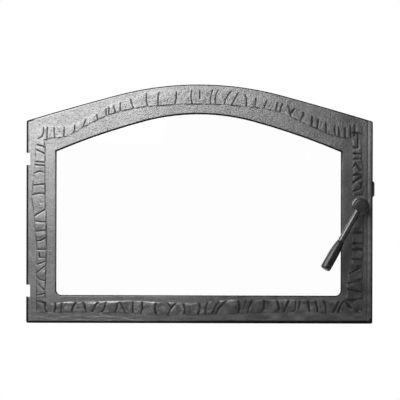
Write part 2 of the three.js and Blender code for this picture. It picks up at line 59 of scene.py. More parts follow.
doorArch = {
    "centre": 0.0, "halfWidth": 330.0, "bottom": 0.0, "top": 455.3,
    "crownRadius": 604.0, "flankRadius": 4800.0, "crownAngle": 14.8,
    "topCorner": 3.6, "bottomCorner": 3.6,
}
windowArch = {
    "centre": -1.7, "halfWidth": 270.9, "bottom": 53.3, "top": 398.2,
    "crownRadius": 396.0, "flankRadius": 1290.0, "crownAngle": 15.0,
    "topCorner": 1.5, "bottomCorner": 9.5,
}
spindle = {"x": 306.0, "z": 225.0}
curveSteps = {"corner": 12, "flank": 60, "crown": 90}


def toRow(points):
    return (np.asarray(points, float) - hingeFoot) / 1000


def smoothStep(value, low, high):
    share = np.clip((value - low) / (high - low), 0, 1)
    return share * share * (3 - 2 * share)


def flankCentre(arch):
    turn = math.radians(arch["crownAngle"])
    shift = arch["crownRadius"] - arch["flankRadius"]
    return shift * math.sin(turn), arch["top"] - arch["crownRadius"] + shift * math.cos(turn)


def arc(centreX, centreZ, radius, start, end, steps):
    angles = np.linspace(start, end, steps)
    return np.column_stack([centreX + radius * np.cos(angles), centreZ + radius * np.sin(angles)])


def resample(path, count):
    lengths = np.concatenate([[0], np.cumsum(np.hypot(*np.diff(path, axis=0).T))])
    at = np.linspace(0, lengths[-1], count, endpoint=False)
    return np.column_stack([np.interp(at, lengths, path[:, 0]), np.interp(at, lengths, path[:, 1])])


# Closed outline, counter-clockwise from the middle of the bottom edge; the three counts are
# the points on half the bottom, on a side and on half the arch, so that two outlines match
def outline(arch, counts, grow=0.0):
    low, high = arch["bottomCorner"] + grow, arch["topCorner"] + grow
    side, floor = arch["halfWidth"] + grow, arch["bottom"] - grow
    flankX, flankZ = flankCentre(arch)
    flank, crown = arch["flankRadius"] + grow, arch["crownRadius"] + grow
    cornerX = side - high
    cornerTurn = math.acos((cornerX - flankX) / (flank - high))
    cornerZ = flankZ + (flank - high) * math.sin(cornerTurn)
    crownStart = math.pi / 2 - math.radians(arch["crownAngle"])
    lowX, lowZ, steps = side - low, floor + low, curveSteps["corner"]
    bottom = np.vstack([[0, floor], arc(lowX, lowZ, low, -math.pi / 2, -math.pi / 4, steps)])
    right = np.vstack([
        arc(lowX, lowZ, low, -math.pi / 4, 0, steps), arc(cornerX, cornerZ, high, 0, cornerTurn / 2, steps)])
    top = np.vstack([
        arc(cornerX, cornerZ, high, cornerTurn / 2, cornerTurn, steps),
        arc(flankX, flankZ, flank, cornerTurn, crownStart, curveSteps["flank"]),
        arc(0, arch["top"] - arch["crownRadius"], crown, crownStart, math.pi / 2, curveSteps["crown"])])
    half = np.vstack([resample(path, count) for path, count in zip((bottom, right, top), counts)])
    mirrored = half[1:][::-1] * [-1, 1]
    whole = np.vstack([half, [0, arch["top"] + grow], mirrored])
    return whole + [arch["centre"], 0]


# How far a place is inside an outline, below zero outside it
def insideDepth(arch, x, z):
    across = np.abs(x - arch["centre"])
    crownZ = arch["top"] - arch["crownRadius"]
    flankX, flankZ = flankCentre(arch)
    inCrown = np.arctan2(across, z - crownZ) < math.radians(arch["crownAngle"])
    top = np.where(inCrown, arch["crownRadius"] - np.hypot(across, z - crownZ),
                   arch["flankRadius"] - np.hypot(across - flankX, z - flankZ))
    side, floor, low = arch["halfWidth"] - across, z - arch["bottom"], arch["bottomCorner"]
    corner = low - np.hypot(low - side, low - floor)
    edge = np.where((side < low) & (floor < low), corner, np.minimum(side, floor))
    return np.minimum(edge, top)


def meshOf(name, points, faces):
    mesh = bpy.data.meshes.new(name)
    mesh.from_pydata([tuple(p) for p in points], [], faces)
    return mesh


def finishMesh(mesh, smooth=40):
    mesh.polygons.foreach_set("use_smooth", [True] * len(mesh.polygons))
    mesh.set_sharp_from_angle(angle=math.radians(smooth))
    mesh.update()


def turnOutwards(mesh):
    work = bmesh.new()
    work.from_mesh(mesh)
    bmesh.ops.recalc_face_normals(work, faces=work.faces)
    work.to_mesh(mesh)
    work.free()


def closedMesh(name, points, faces, smooth=40):
    mesh = meshOf(name, points, faces)
    turnOutwards(mesh)
    finishMesh(mesh, smooth)
    return mesh


def addToScene(name, data):
    item = bpy.data.objects.new(name, data)
    bpy.context.scene.collection.objects.link(item)
    return item


def addPiece(name, mesh, finish, body, replaced):
    piece = addToScene(name, mesh)
    mesh.materials.clear()
    mesh.materials.append(finish)
    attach(piece, body)
    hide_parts(*replaced)


# Quads of a grid whose columns close on themselves, and whose rows may
def gridFaces(columns, rows, closeRows=False):
    kk, jj = np.meshgrid(np.arange(columns), np.arange(rows if closeRows else rows - 1), indexing="ij")
    nextK, nextJ = (kk + 1) % columns, (jj + 1) % rows
    quads = np.stack([kk * rows + jj, nextK * rows + jj, nextK * rows + nextJ, kk * rows + nextJ], -1)
    return quads.reshape(-1, 4)


# One mesh cut by, kept inside or joined to another
def combine(base, tool, operation):
    first, second = addToScene("combineBase", base), addToScene("combineTool", tool)
    step = first.modifiers.new("combine", "BOOLEAN")
    step.object, step.operation, step.solver = second, operation, "MANIFOLD"
    bpy.context.view_layer.update()
    made = bpy.data.meshes.new_from_object(first.evaluated_get(bpy.context.evaluated_depsgraph_get()))
    for item in (first, second):
        bpy.data.objects.remove(item)
    return made


def blockMesh(low, high):
    corners = [(x, y, z) for x in (low[0], high[0]) for y in (low[1], high[1]) for z in (low[2], high[2])]
    faces = [(0, 1, 3, 2), (4, 6, 7, 5), (0, 4, 5, 1), (2, 3, 7, 6), (0, 2, 6, 4), (1, 5, 7, 3)]
    return meshOf("block", toRow(corners), faces)


relief = {
    "cell": 0.5, "spanX": (-332, 332.01), "spanZ": (-2, 458.01),
    # the raised band, its sloping sides, and how much lower it is at the right and along the foot
    "bandRise": 0.85, "unevenRise": 0.5, "innerSlope": 1.9, "outerSlope": 2.4, "archSlope": 9.0,
    "rightSoft": 3.5, "footSoft": 1.4, "rightFlat": 0.7, "footFlat": 0.25,
    # chisel lines, and how much broader they are in places
    "groove": (0.2, 2.1), "grooveDepth": 0.8, "cut": (0.8, 2.3), "cutWear": 0.2, "cutUneven": 1.6,
    "rightBroad": 1.3, "footBroad": 0.7, "eastBroad": 0.6, "broadUneven": (0.7, 0.6), "bandEdge": (-1, 1),
    # painted shade lines along both sides of the band, broken into dashes
    "rimLine": (0.2, 2.0), "innerRim": -0.5, "outerRim": -0.3, "outerFaint": 0.7, "rightFaint": 0.75,
    "dashMean": 0.7, "dashes": (0.9, 1.6), "archDashes": 3,
    # domed cells, fine unevenness, and wear
    "dome": 0.22, "domeReach": 6.0, "bandRipple": 0.13, "footRipple": 1.6, "plateRipple": 0.07,
    "plateSquash": 1.2, "fineShare": 0.6, "streak": 0.2, "streakLong": 5,
    "archWear": 0.68, "leftWear": 0.35, "leftSide": (200, 260), "rimWear": 0.7, "rimWorn": (-1, 4),
    "wornCut": 0.6,
    # how far the face falls back, and how sharply that fall is held to its limit
    "lowFall": 1.6, "eastFall": 2.9, "rightFall": 1.6, "leftFall": 0.9, "mostFall": 2.8, "fallHeld": 4,
    # the flat round the handle, and the bead along the closing edge with its groove
    "seat": (17.0, 20.5), "margin": (1, 5),
    "beadStart": 316, "beadCrest": 325.3, "beadWide": 2.8, "beadRise": 0.1, "beadGroove": 320.4,
    "beadGrooveWide": 1.3, "beadGrooveDepth": 0.4, "beadShade": 0.55,
    # painted shade over the right and foot bands and darkening the lower right, and painted highlights on the
    # crests
    "rightShade": 0.4, "footShade": 0.4, "shadeMean": 0.7, "lowRightShade": 0.45, "sideShadeShare": 0.7,
    "footShadeExtra": 0.15, "lowRightShadeUneven": 0.5, "lowRightShadeLong": 2, "crestFrom": 2.0, "crestWide": 1.5,
}
# Where each zone of the face begins and ends, from left to right and from the foot up
zonesAcross = {
    "right": (270, 290), "archEast": (60, 180), "bandEnd": (316, 319), "east": (-120, 140),
    "rightFall": (260, 320), "leftFall": (-340, -285), "lowRightShadeEast": (-110, 60), "lowRightShadeSide": (262, 290),
}
zonesUp = {
    "arch": (320, 360), "rails": (44, 52), "streak": (13, 19), "lowFall": (0, 60), "eastFall": (-25, 85),
    "leftFall": (130, 330), "lowRightShade": (62, 100), "lowRightShadeFoot": (12, 20), "lowRightShadeSide": (250, 340),
}
# Size in millimetres and seed of each random field
fields = {
    "slope": (11, 12), "wear": (8, 7), "broad": (9, 8), "coarse": (7, 3), "fine": (3.2, 4), "rise": (15, 9),
    "plate": (14, 5), "plateFine": (4.5, 6), "streak": (3, 10), "dashes": (9, 11), "shade": (10, 13),
    "lowRightShade": (8, 14),
}
lattice = {"side": 400, "left": -400, "foot": -100}     # the random values that each field is read from
gridScale = 1.9048      # millimetres in one step of the carver's grid
gridMiddle = 199.6
gridFoot = 323.2
gridTurn = 0.0075

# Limits of the raised band, once round its outer side and once round its inner side
bandOuter = [
    (35.6, 146), (36.4, 141), (37.5, 131), (43.4, 125.5), (54, 126), (64, 126), (74.5, 123.5), (85, 118),
    (96.5, 113), (108.6, 105.5), (120.2, 101.5), (130.4, 98), (146.2, 92.5), (159, 91.3), (176, 90.8),
    (191.6, 89.3), (212.5, 89.2), (232, 90), (245, 94), (256, 97.5), (267, 99.5), (277.6, 101.8),
    (287.7, 104.5), (303.3, 112), (318.5, 119), (334.6, 125.5), (345, 127.6), (354, 123.4), (359.6, 125),
    (361.8, 132), (361.6, 150), (362.6, 168), (363, 190), (363.4, 215), (363.4, 245), (362.6, 268),
    (363, 292), (362.6, 309), (360, 314.6), (350, 312.6), (332.7, 313.6), (324.5, 313.4), (309, 312.2),
    (291, 312.6), (276, 312.4), (262.6, 312.6), (239.5, 313.4), (216.5, 314), (195.6, 314.7), (182, 314.4),
    (169, 315), (162, 314.6), (145, 313.4), (125, 312.6), (106, 312.4), (92, 311.6), (66, 311.4),
    (50.3, 311.8), (43.6, 311.8), (36.9, 311.6), (36.6, 300), (36.9, 284), (37.2, 260), (37, 244),
    (36.4, 238), (35.4, 231), (34.3, 217), (33.1, 205), (31.6, 195), (32.8, 185), (34, 169), (35.6, 156),
]
bandInner = [
    (44.8, 146), (43.2, 139), (49.5, 137.2), (57.9, 136.8), (66.4, 135.4), (77.1, 130.1), (87.1, 124.2),
    (97.9, 118.6), (105.9, 114.8), (120.2, 110.4), (132.7, 107.9), (147.4, 105.8), (173, 104.2),
    (191.8, 103.6), (224, 104.2), (246.4, 106.7), (262.5, 108.3), (274.7, 110.7), (294.8, 118.9),
    (304.6, 123.8), (313.6, 127.4), (327, 134.2), (335, 136.3), (344, 138.3), (350.2, 138.2), (352.8, 142),
    (353.2, 165), (352.6, 190), (352.8, 230), (352.2, 258), (349.6, 270), (347.6, 284), (347, 296),
    (344.6, 301), (336, 301.6), (327, 301), (315, 301), (302, 300.6), (276.8, 300.2), (255, 300.2),
    (230, 300.2), (218, 301.4), (200, 302.8), (186, 303.4), (170, 302.6), (158, 302.4), (146, 301.2),
    (128, 300.6), (114, 301.2), (96, 301.4), (74, 301.6), (50, 301.6), (45.4, 300), (44.8, 290),
    (45.6, 275), (46.2, 250), (46.1, 212), (45, 206), (44.7, 180), (44.7, 152),
]
# Chisel lines that part the band into cells
chiselLines = [
    # arch
    [(43.4, 126.5), (43.4, 131.9), (41.9, 135.4), (37.9, 137.7)], [(47.2, 126), (46.8, 137)],
    [(53.9, 126.5), (54.4, 136.8)], [(64.2, 126.5), (63.6, 135.6)],
    [(74.5, 124.2), (74.5, 129.2), (72.8, 132.4)],
    [(85.7, 118.6), (82.8, 126.6)], [(96.5, 113.4), (97.4, 118.8)], [(105.7, 107.5), (105.9, 114.6)],
    [(108.6, 106), (108.8, 113.6)], [(113.5, 104), (113.7, 106.8), (115.3, 111.4)],
    [(120.2, 101.8), (120.2, 110.4)], [(130.4, 98), (130.9, 101.4), (133.1, 107.6)],
    [(146.2, 92.6), (146.2, 101), (147.4, 105.8)], [(159.2, 91.4), (157.9, 95.1), (157.9, 105)],
    [(176.2, 91), (176.2, 97.8), (174.8, 104)], [(191.6, 89.4), (190.9, 97.3), (191.8, 103.8)],
    [(199.4, 89.4), (199.6, 98.4)], [(212.5, 89.4), (211.2, 93.8), (210, 100), (210.5, 104.2)],
    [(217.9, 89.6), (215.6, 95.1), (215.2, 102.4)],
    [(232.1, 90), (228.6, 94.2), (225.4, 99.1), (224.1, 104.2)],
    [(238.6, 92), (235.7, 97.3), (231.7, 104.4)], [(244.8, 94), (246.4, 99.1), (246.2, 106.6)],
    [(256, 97.6), (254.6, 107.2)], [(267, 99.6), (265.6, 103.6), (263.8, 108.2)],
    [(277.6, 101.8), (275.6, 110.8)], [(282.6, 103.4), (279.6, 112.6)], [(287.7, 104.8), (290.4, 116)],
    [(294.6, 108.6), (291.4, 112.8)], [(303.3, 112.2), (303.1, 115.8), (299.8, 121.2)],
    [(312, 116.4), (311.6, 126.6)], [(318.5, 119), (316.8, 129.2)], [(325.7, 122.4), (325.9, 133.4)],
    [(334.6, 125.8), (335, 136.2)], [(338.6, 127), (339, 137.2)], [(345, 127.8), (345, 138.2)],
    [(350.2, 126), (350.4, 138)], [(354.2, 126), (354.4, 136)],
    # left rail
    [(37, 143.8), (42.3, 145.1), (45, 146.6)], [(36.4, 148.7), (44.6, 152.6)], [(35, 160.6), (44.8, 161.4)],
    [(34.2, 163.8), (44.6, 164.6)], [(34.2, 172.2), (39.1, 170.3), (44.6, 171.4)],
    [(33.6, 184.2), (44.4, 183.2)], [(32.1, 193.7), (39.1, 192.5), (44.6, 192.7)],
    [(45.4, 208.4), (39.1, 212.1), (34, 215.2)], [(35.2, 220), (41.7, 221), (46.6, 221)],
    [(35.4, 230.4), (46.2, 229.4)], [(36.6, 239.6), (40.7, 239.9), (45.8, 236.6)],
    [(37, 248.5), (46.6, 248.5)],
    [(39.5, 251.6), (39.5, 256.5), (46.6, 256.5)], [(37, 263.5), (46.4, 260.3)],
    [(37, 271.8), (40.7, 268.6), (45.8, 264.8)], [(37, 276.2), (40.7, 278.8), (45.4, 280)],
    [(38.6, 283.2), (44.6, 289)], [(37, 294.4), (44.6, 292.6)], [(45.2, 301.8), (36.9, 300.2)],
    # bottom rail
    [(45.6, 302), (45.2, 308), (47.6, 312)], [(55.2, 302), (56, 307.2), (54, 311.8)],
    [(62, 302), (61.2, 311.6)],
    [(75.8, 302), (73, 306.5), (71.8, 311.6)], [(83.2, 301.6), (84.6, 305), (86.2, 311.4)],
    [(98.5, 301.8), (95.9, 304.5), (91.8, 311.6)], [(106.2, 301.8), (104.2, 308.6), (101, 312.2)],
    [(117.6, 303.2), (117, 307.5), (115.2, 312.2)], [(120.2, 302), (123.8, 308.8), (125.6, 312.4)],
    [(133.2, 301.2), (133, 312.8)], [(142.2, 301.4), (142.9, 308.6), (141, 313)],
    [(156.4, 302.4), (155.2, 309), (156.6, 313.6)], [(168, 303), (171.8, 307.6), (175.9, 303)],
    [(171.8, 307.6), (168.4, 314.6)], [(184, 303.6), (185.2, 308), (184.4, 314.4)],
    [(199.6, 303), (200.6, 309), (198.2, 314.6)], [(207.9, 302.6), (206.3, 306.5), (205.8, 314)],
    [(218.8, 302), (216, 306.5), (212.6, 313.8)], [(226.6, 301), (222, 305.5), (219, 308.6), (216.5, 314)],
    [(238.6, 300.6), (240.2, 306), (239, 313.2)], [(246.2, 300.6), (244.6, 306.2)],
    [(252.6, 300.6), (249.3, 309), (248, 312.8)], [(264.6, 300.4), (264.4, 308.6), (262.4, 312.6)],
    [(277.6, 300.6), (279.6, 309.6), (276, 312.4)], [(289.2, 300.8), (287.6, 305), (284, 312.6)],
    [(296.2, 301), (295.6, 310), (291, 312.4)], [(300.4, 301.2), (299, 309.4)], [(308.6, 301), (310, 311.8)],
    [(316.2, 301.4), (318.4, 312.4)], [(324.4, 301.4), (326.6, 308), (326.2, 313.2)],
    [(339.6, 301.8), (335.2, 310.6), (333.4, 313.2)], [(344.2, 301.2), (340.8, 307), (338.8, 313)],
    [(345, 301), (350, 307.4), (355, 309.8), (361, 312.4)],
    # right rail
    [(353, 133), (361.6, 134.2)], [(357.8, 133.8), (357.8, 148.6), (353.4, 147.5)],
    [(353, 154), (362, 154.6)],
    [(353.2, 159.5), (362, 159.5)], [(352.9, 168), (356.2, 163.9), (360.6, 171)],
    [(352.9, 176.2), (357, 174.8), (362.6, 175.4)], [(352.8, 183.4), (361.8, 177.6)],
    [(361.6, 184.2), (361.4, 189), (354, 191.6)], [(352.6, 200.6), (356.8, 197.9), (362.4, 195.6)],
    [(353, 233.3), (363, 233.3)], [(353, 244.1), (363, 244.1)], [(352.8, 250.2), (362.6, 250.2)],
    [(352.4, 259.6), (362.4, 260.4)], [(357.8, 267), (362.4, 265.8)],
    [(350, 274.2), (356.5, 270.9), (361.6, 266.8)],
    [(347.6, 284.2), (355.2, 282.1), (361.6, 280.1)], [(348, 289.2), (359, 292.3), (362.4, 292.6)],
    [(346, 300.2), (353.3, 300.9), (361.6, 298.6)],
]


def fromGrid(points):
    across, down = np.array(points, float).T
    return np.column_stack([
        (across - gridMiddle) * gridScale,
        (gridFoot + gridTurn * (across - gridMiddle) - down) * gridScale])


def segmentDistance(x, z, start, end):
    span = end - start
    share = np.clip(((x - start[0]) * span[0] + (z - start[1]) * span[1]) / (span @ span), 0, 1)
    return np.hypot(x - start[0] - share * span[0], z - start[1] - share * span[1])


# Distance to a set of lines, worked out only within reach of each
def lineDistance(xs, zs, paths, reach):
    nearest = np.full((len(xs), len(zs)), reach)
    for path in paths:
        for start, end in zip(path[:-1], path[1:]):
            low, high = np.minimum(start, end) - reach, np.maximum(start, end) + reach
            i0, i1 = np.searchsorted(xs, (low[0], high[0]))
            j0, j1 = np.searchsorted(zs, (low[1], high[1]))
            if i0 == i1 or j0 == j1:
                continue
            x, z = np.meshgrid(xs[i0:i1], zs[j0:j1], indexing="ij")
            part = nearest[i0:i1, j0:j1]
            np.minimum(part, segmentDistance(x, z, start, end), out=part)
    return nearest


# True where a place is inside a closed path
def insidePath(xs, zs, path):
    inside = np.zeros((len(xs), len(zs)), bool)
    for start, end in zip(path, np.roll(path, -1, axis=0)):
        if start[1] == end[1]:
            continue
        rows = (zs >= min(start[1], end[1])) & (zs < max(start[1], end[1]))
        crossing = start[0] + (zs[rows] - start[1]) * (end[0] - start[0]) / (end[1] - start[1])
        inside[:, rows] ^= xs[:, None] < crossing[None, :]
    return inside


# Values on a whole lattice, read between its places
def between(values, a, b, i, j):
    return ((values[i, j] * (1 - a) + values[i + 1, j] * a) * (1 - b)
            + (values[i, j + 1] * (1 - a) + values[i + 1, j + 1] * a) * b)


# Smooth random field: values on a coarse lattice, joined by smooth steps
def ripple(x, z, size, seed):
    side = lattice["side"]
    values = np.random.default_rng(seed).uniform(-1, 1, (side, side))
    u, v = (x - lattice["left"]) / size, (z - lattice["foot"]) / size
    i, j = np.floor(u).astype(int), np.floor(v).astype(int)
    return between(values, smoothStep(u - i, 0, 1), smoothStep(v - j, 0, 1), i % (side - 1), j % (side - 1))


def readMap(xs, zs, values, x, z):
    short = 1.001       # keeps the last places inside the last cell
    u = np.clip((x - xs[0]) / relief["cell"], 0, len(xs) - short)
    v = np.clip((z - zs[0]) / relief["cell"], 0, len(zs) - short)
    i, j = u.astype(int), v.astype(int)
    return between(values, u - i, v - j, i, j)


# How far each place is inside the band's outer side, outside its inner side and from a chisel line
def bandDistances(xs, zs):
    outer, inner, reach = fromGrid(bandOuter), fromGrid(bandInner), relief["domeReach"]
    toOuter, toInner = [lineDistance(xs, zs, [np.vstack([path, path[:1]])], reach) for path in (outer, inner)]
    toOuter = np.where(insidePath(xs, zs, outer), toOuter, -toOuter)
    toInner = np.where(insidePath(xs, zs, inner), -toInner, toInner)
    toLine = lineDistance(xs, zs, [fromGrid(path) for path in chiselLines], reach)
    return toOuter, toInner, toLine


# Height of the face over the flat plate, a mask of painted shade in the hollows and towards the lower
# right, and a mask of painted highlight on the crests beside the chisel lines
def carveFace():
    r = relief
    xs, zs = np.arange(*r["spanX"], r["cell"]), np.arange(*r["spanZ"], r["cell"])
    x, z = np.meshgrid(xs, zs, indexing="ij")

    def field(name, x=x, z=z):
        return ripple(x, z, *fields[name])

    def across(name):
        return smoothStep(x, *zonesAcross[name])

    def up(name):
        return smoothStep(z, *zonesUp[name])

    toOuter, toInner, toLine = bandDistances(xs, zs)
    onArch, onRails, east = up("arch"), up("rails"), across("east")
    onRight, onFoot = across("right") * (1 - onArch), 1 - onRails
    seat = smoothStep(np.hypot(x - spindle["x"], z - spindle["z"]), *r["seat"])

    # the raised band, with chisel lines that are broader at the right and along the foot
    slope = r["outerSlope"] + (r["archSlope"] - r["outerSlope"]) * onArch
    raised = smoothStep(toOuter, -slope / 2, slope / 2)
    slope = r["innerSlope"] + r["rightSoft"] * onRight + r["footSoft"] * onFoot * (1 + field("slope"))
    raised *= smoothStep(toInner, -slope / 2, slope / 2)
    wear = np.clip(1 - r["cutWear"] * (1 + r["cutUneven"] * field("wear")), 0, 1)
    wear *= 1 - r["rimWear"] * onArch * (1 - smoothStep(toOuter, *r["rimWorn"]))
    broad = np.maximum(r["rightBroad"] * onRight, r["footBroad"] * onFoot)
    broad = np.maximum(broad, r["eastBroad"] * onArch * across("archEast"))
    least, uneven = r["broadUneven"]
    broad = 1 + broad * (least + uneven * field("broad"))
    groove = (1 - smoothStep(toLine / broad, *r["groove"])) * wear
    toEdge = np.clip(np.minimum(np.minimum(toOuter, toInner), toLine), 0, r["domeReach"]) / r["domeReach"]
    dome = np.sqrt(np.clip(1 - (1 - toEdge) ** 2, 0, 1))
    rough = field("coarse") + r["fineShare"] * field("fine")
    rough *= r["bandRipple"] * (1 + np.maximum(onRight, r["footRipple"] * onFoot))
    worn = 1 - r["archWear"] * onArch - r["leftWear"] * (1 - onArch) * smoothStep(-x, *r["leftSide"])
    rise = r["bandRise"] * (1 - r["rightFlat"] * onRight - r["footFlat"] * onFoot)
    rise *= 1 + r["unevenRise"] * (1 + onFoot) * field("rise")
    height = raised * (rise + r["dome"] * (dome - 0.5)) * worn
    height += raised * rough
    height -= r["grooveDepth"] * groove * raised * worn

    # the plain margins, the closing edge, and the face's slow fall towards foot and sides
    plain = field("plate", z=z * r["plateSquash"]) + r["fineShare"] * field("plateFine")
    height += r["plateRipple"] * plain
    height += r["streak"] * field("streak", x=x / r["streakLong"]) * (1 - up("streak"))
    height *= (seat * smoothStep(insideDepth(doorArch, x, z), *r["margin"])
               * smoothStep(-insideDepth(windowArch, x, z), *r["margin"]))
    height *= 1 - across("bandEnd")
    inGroove = np.exp(-((x - r["beadGroove"]) / r["beadGrooveWide"]) ** 2)
    bead = r["beadRise"] * smoothStep(x, r["beadCrest"] - r["beadWide"], r["beadCrest"])
    height += np.where(x > r["beadStart"], bead - r["beadGrooveDepth"] * inGroove, 0)
    fall = r["lowFall"] * (1 - up("lowFall")) * (1 - east)
    fall += r["eastFall"] * (1 - up("eastFall")) * east + r["rightFall"] * across("rightFall")
    fall += r["leftFall"] * (1 - across("leftFall")) * (1 - up("leftFall"))
    height -= fall / (1 + (fall / r["mostFall"]) ** r["fallHeld"]) ** (1 / r["fallHeld"])

    # painted shade: in the chisel lines, in broken lines along the band, over the right and foot bands,
    # darker towards the lower right, and in the bead's groove
    cut = 1 - smoothStep(toLine / broad, *r["cut"])
    cut *= smoothStep(toOuter, *r["bandEdge"]) * smoothStep(toInner, *r["bandEdge"])
    innerLine = 1 - smoothStep(np.abs(toInner - r["innerRim"]), *r["rimLine"])
    innerLine *= onRails * (1 - r["rightFaint"] * onRight)
    outerLine = (1 - smoothStep(np.abs(toOuter - r["outerRim"]), *r["rimLine"])) * (1 - onArch)
    size, seed = fields["dashes"]
    straight, arched = r["dashes"]
    broken = ripple(x, z, size - r["archDashes"] * onArch, seed)
    broken = r["dashMean"] + (straight + (arched - straight) * onArch) * broken
    rim = np.maximum(innerLine, r["outerFaint"] * outerLine) * np.clip(broken, 0, 1)
    cut *= r["wornCut"] + (1 - r["wornCut"]) * wear
    paintedShade = np.clip(np.maximum(cut, rim), 0, 1) * seat
    # painted shade over the raised band at the right and along the foot
    shade = np.maximum(r["rightShade"] * onRight, r["footShade"] * onFoot)
    paintedShade = np.maximum(paintedShade, shade * raised * seat * (r["shadeMean"] + field("shade")))
    # painted shade, darker over the lower right and down the right side
    lower = across("lowRightShadeEast") * (1 - up("lowRightShade"))
    lower *= 1 + r["footShadeExtra"] * (1 - up("lowRightShadeFoot"))
    beside = r["sideShadeShare"] * across("lowRightShadeSide") * (1 - up("lowRightShadeSide"))
    lowRightShade = r["lowRightShade"] * np.maximum(lower, beside)
    lowRightShade *= 1 + r["lowRightShadeUneven"] * field("lowRightShade", x=x / r["lowRightShadeLong"])
    paintedShade = 1 - (1 - paintedShade) * (1 - lowRightShade * seat)
    # painted shade in the bead's groove
    paintedShade = np.maximum(paintedShade, r["beadShade"] * inGroove)
    # painted highlight on the crests beside the chisel lines and the band's inner side
    lip = np.minimum(np.maximum(toInner, 0), toLine)
    onCrest = np.clip(1 - np.abs(lip - r["crestFrom"]) / r["crestWide"], 0, 1)
    return xs, zs, height, paintedShade, raised * (1 - groove) * onCrest * seat


spindlePlace = (Matrix.Diagonal((0.001, 0.001, 0.001, 1))
                @ Matrix.Translation(np.array([spindle["x"], 0, spindle["z"]]) - hingeFoot))


# A profile of (radius, along) turned round local Y; a profile that starts and ends away
# from the axis is closed on itself, as a sleeve
def makeTurned(profile, sides):
    profile = [tuple(map(float, p)) for p in profile]
    angles = np.arange(sides) * 2 * math.pi / sides
    onAxis = 1e-6
    points, rings = [], []
    for radius, along in profile:
        start = len(points)
        if radius < onAxis:
            points.append((0, along, 0))
            rings.append([start] * sides)
        else:
            points += [(radius * math.cos(a), along, radius * math.sin(a)) for a in angles]
            rings.append(list(range(start, start + sides)))
    pairs = list(zip(rings[:-1], rings[1:]))
    if profile[0][0] > onAxis and profile[-1][0] > onAxis:
        pairs.append((rings[-1], rings[0]))
    faces = []
    for one, two in pairs:
        for i in range(sides):
            n = (i + 1) % sides
            ring = [one[i], one[n], two[n], two[i]]
            face = [v for at, v in enumerate(ring) if v != ring[at - 1]]
            if len(set(face)) > 2:
                faces.append(face)
    return closedMesh("turned", points, faces)


# A solid round plug, for boring holes
def makePlug(radius, start, end, sides, place):
    plug = makeTurned([(0, start), (radius, start), (radius, end), (0, end)], sides)
    plug.transform(place)
    return plug


casting = {
    "halfBottom": 330, "side": 385, "halfArch": 350, "rows": 60, "railWide": 57.0, "smooth": 45,
    "edgeRound": 3.0, "edgeRows": 7, "seam": 3.2, "overlap": 0.05, "weld": 1e-7,
    "notchHeights": (61.5, 312.5), "notchHigh": 23.0, "notchDeep": 7.5,
    "spindleHole": 5.8, "holeSides": 48, "cutFront": -5, "cutBack": 9, "cutAside": -340,
    "rearLow": (-400, -50), "rearHigh": (400, 80, 520),
}
# Painted shade on the turned-down edges: how far in from its edges the face is darkened, where that changes,
# and where painted light washes it out
edgeShading = {
    "thin": 2.4, "wide": 4.0, "foot": 4.6, "footEast": 1.5, "arch": 3.2, "litSide": 0.6,
    "faceBack": (2.7, 3.1), "fade": (0.7, 1.15), "leftRim": (312, 320), "east": (-60, 60),
    "footUp": (-14, -8), "archUp": (300, 330),
    "litLeft": (240, 250), "litFrom": (74, 84), "litTo": (300, 335),
}


# The carved face with its rounded edges, as a skin that is closed behind
def makeSkin(xs, zs, height):
    c = casting
    counts = (c["halfBottom"], c["side"], c["halfArch"])
    inner, outer = outline(windowArch, counts), outline(doorArch, counts)
    turn = np.linspace(0, math.pi / 2, c["edgeRows"])
    rounding = c["edgeRound"] * (1 - np.cos(turn)) / c["railWide"]
    shares = np.concatenate([
        rounding, np.linspace(rounding[-1], 1 - rounding[-1], c["rows"])[1:-1], 1 - rounding[::-1]])
    columns, rows = len(inner), len(shares)
    flat = inner[:, None] * (1 - shares[None, :, None]) + outer[:, None] * shares[None, :, None]
    x, z = flat[..., 0], flat[..., 1]
    rise = readMap(xs, zs, height, x, z)
    inset = np.minimum(insideDepth(doorArch, x, z), -insideDepth(windowArch, x, z))
    inset[:, 0] = inset[:, -1] = 0
    inset = np.clip(inset / c["edgeRound"], 0, 1)
    keep = np.sqrt(1 - (1 - inset) ** 2)
    y = c["edgeRound"] - (c["edgeRound"] + rise) * keep
    front = np.stack([x, y, z], -1).reshape(-1, 3)
    back = c["seam"] + c["overlap"]
    rims = np.stack([np.insert(path, 1, back, axis=1) for path in (inner, outer)], 1).reshape(-1, 3)
    base = columns * rows
    k = np.arange(columns)
    n = (k + 1) % columns
    innerWall = np.stack([k * rows, base + 2 * k, base + 2 * n, n * rows], -1)
    outerWall = np.stack([k * rows + rows - 1, n * rows + rows - 1, base + 2 * n + 1, base + 2 * k + 1], -1)
    cap = np.stack([base + 2 * k, base + 2 * k + 1, base + 2 * n + 1, base + 2 * n], -1)
    faces = np.vstack([gridFaces(columns, rows), innerWall, outerWall, cap]).tolist()
    skin = meshOf("castSkin", toRow(np.vstack([front, rims])), faces)
    turnOutwards(skin)
    return skin


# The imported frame, from the seam back
def makeRear():
    solid = bmesh.new()
    solid.from_mesh(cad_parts["door_frame"].data)
    bmesh.ops.remove_doubles(solid, verts=solid.verts, dist=casting["weld"])
    rear = bpy.data.meshes.new("castRear")
    solid.to_mesh(rear)
    solid.free()
    left, foot = casting["rearLow"]
    return combine(rear, blockMesh((left, casting["seam"], foot), casting["rearHigh"]), "INTERSECT")


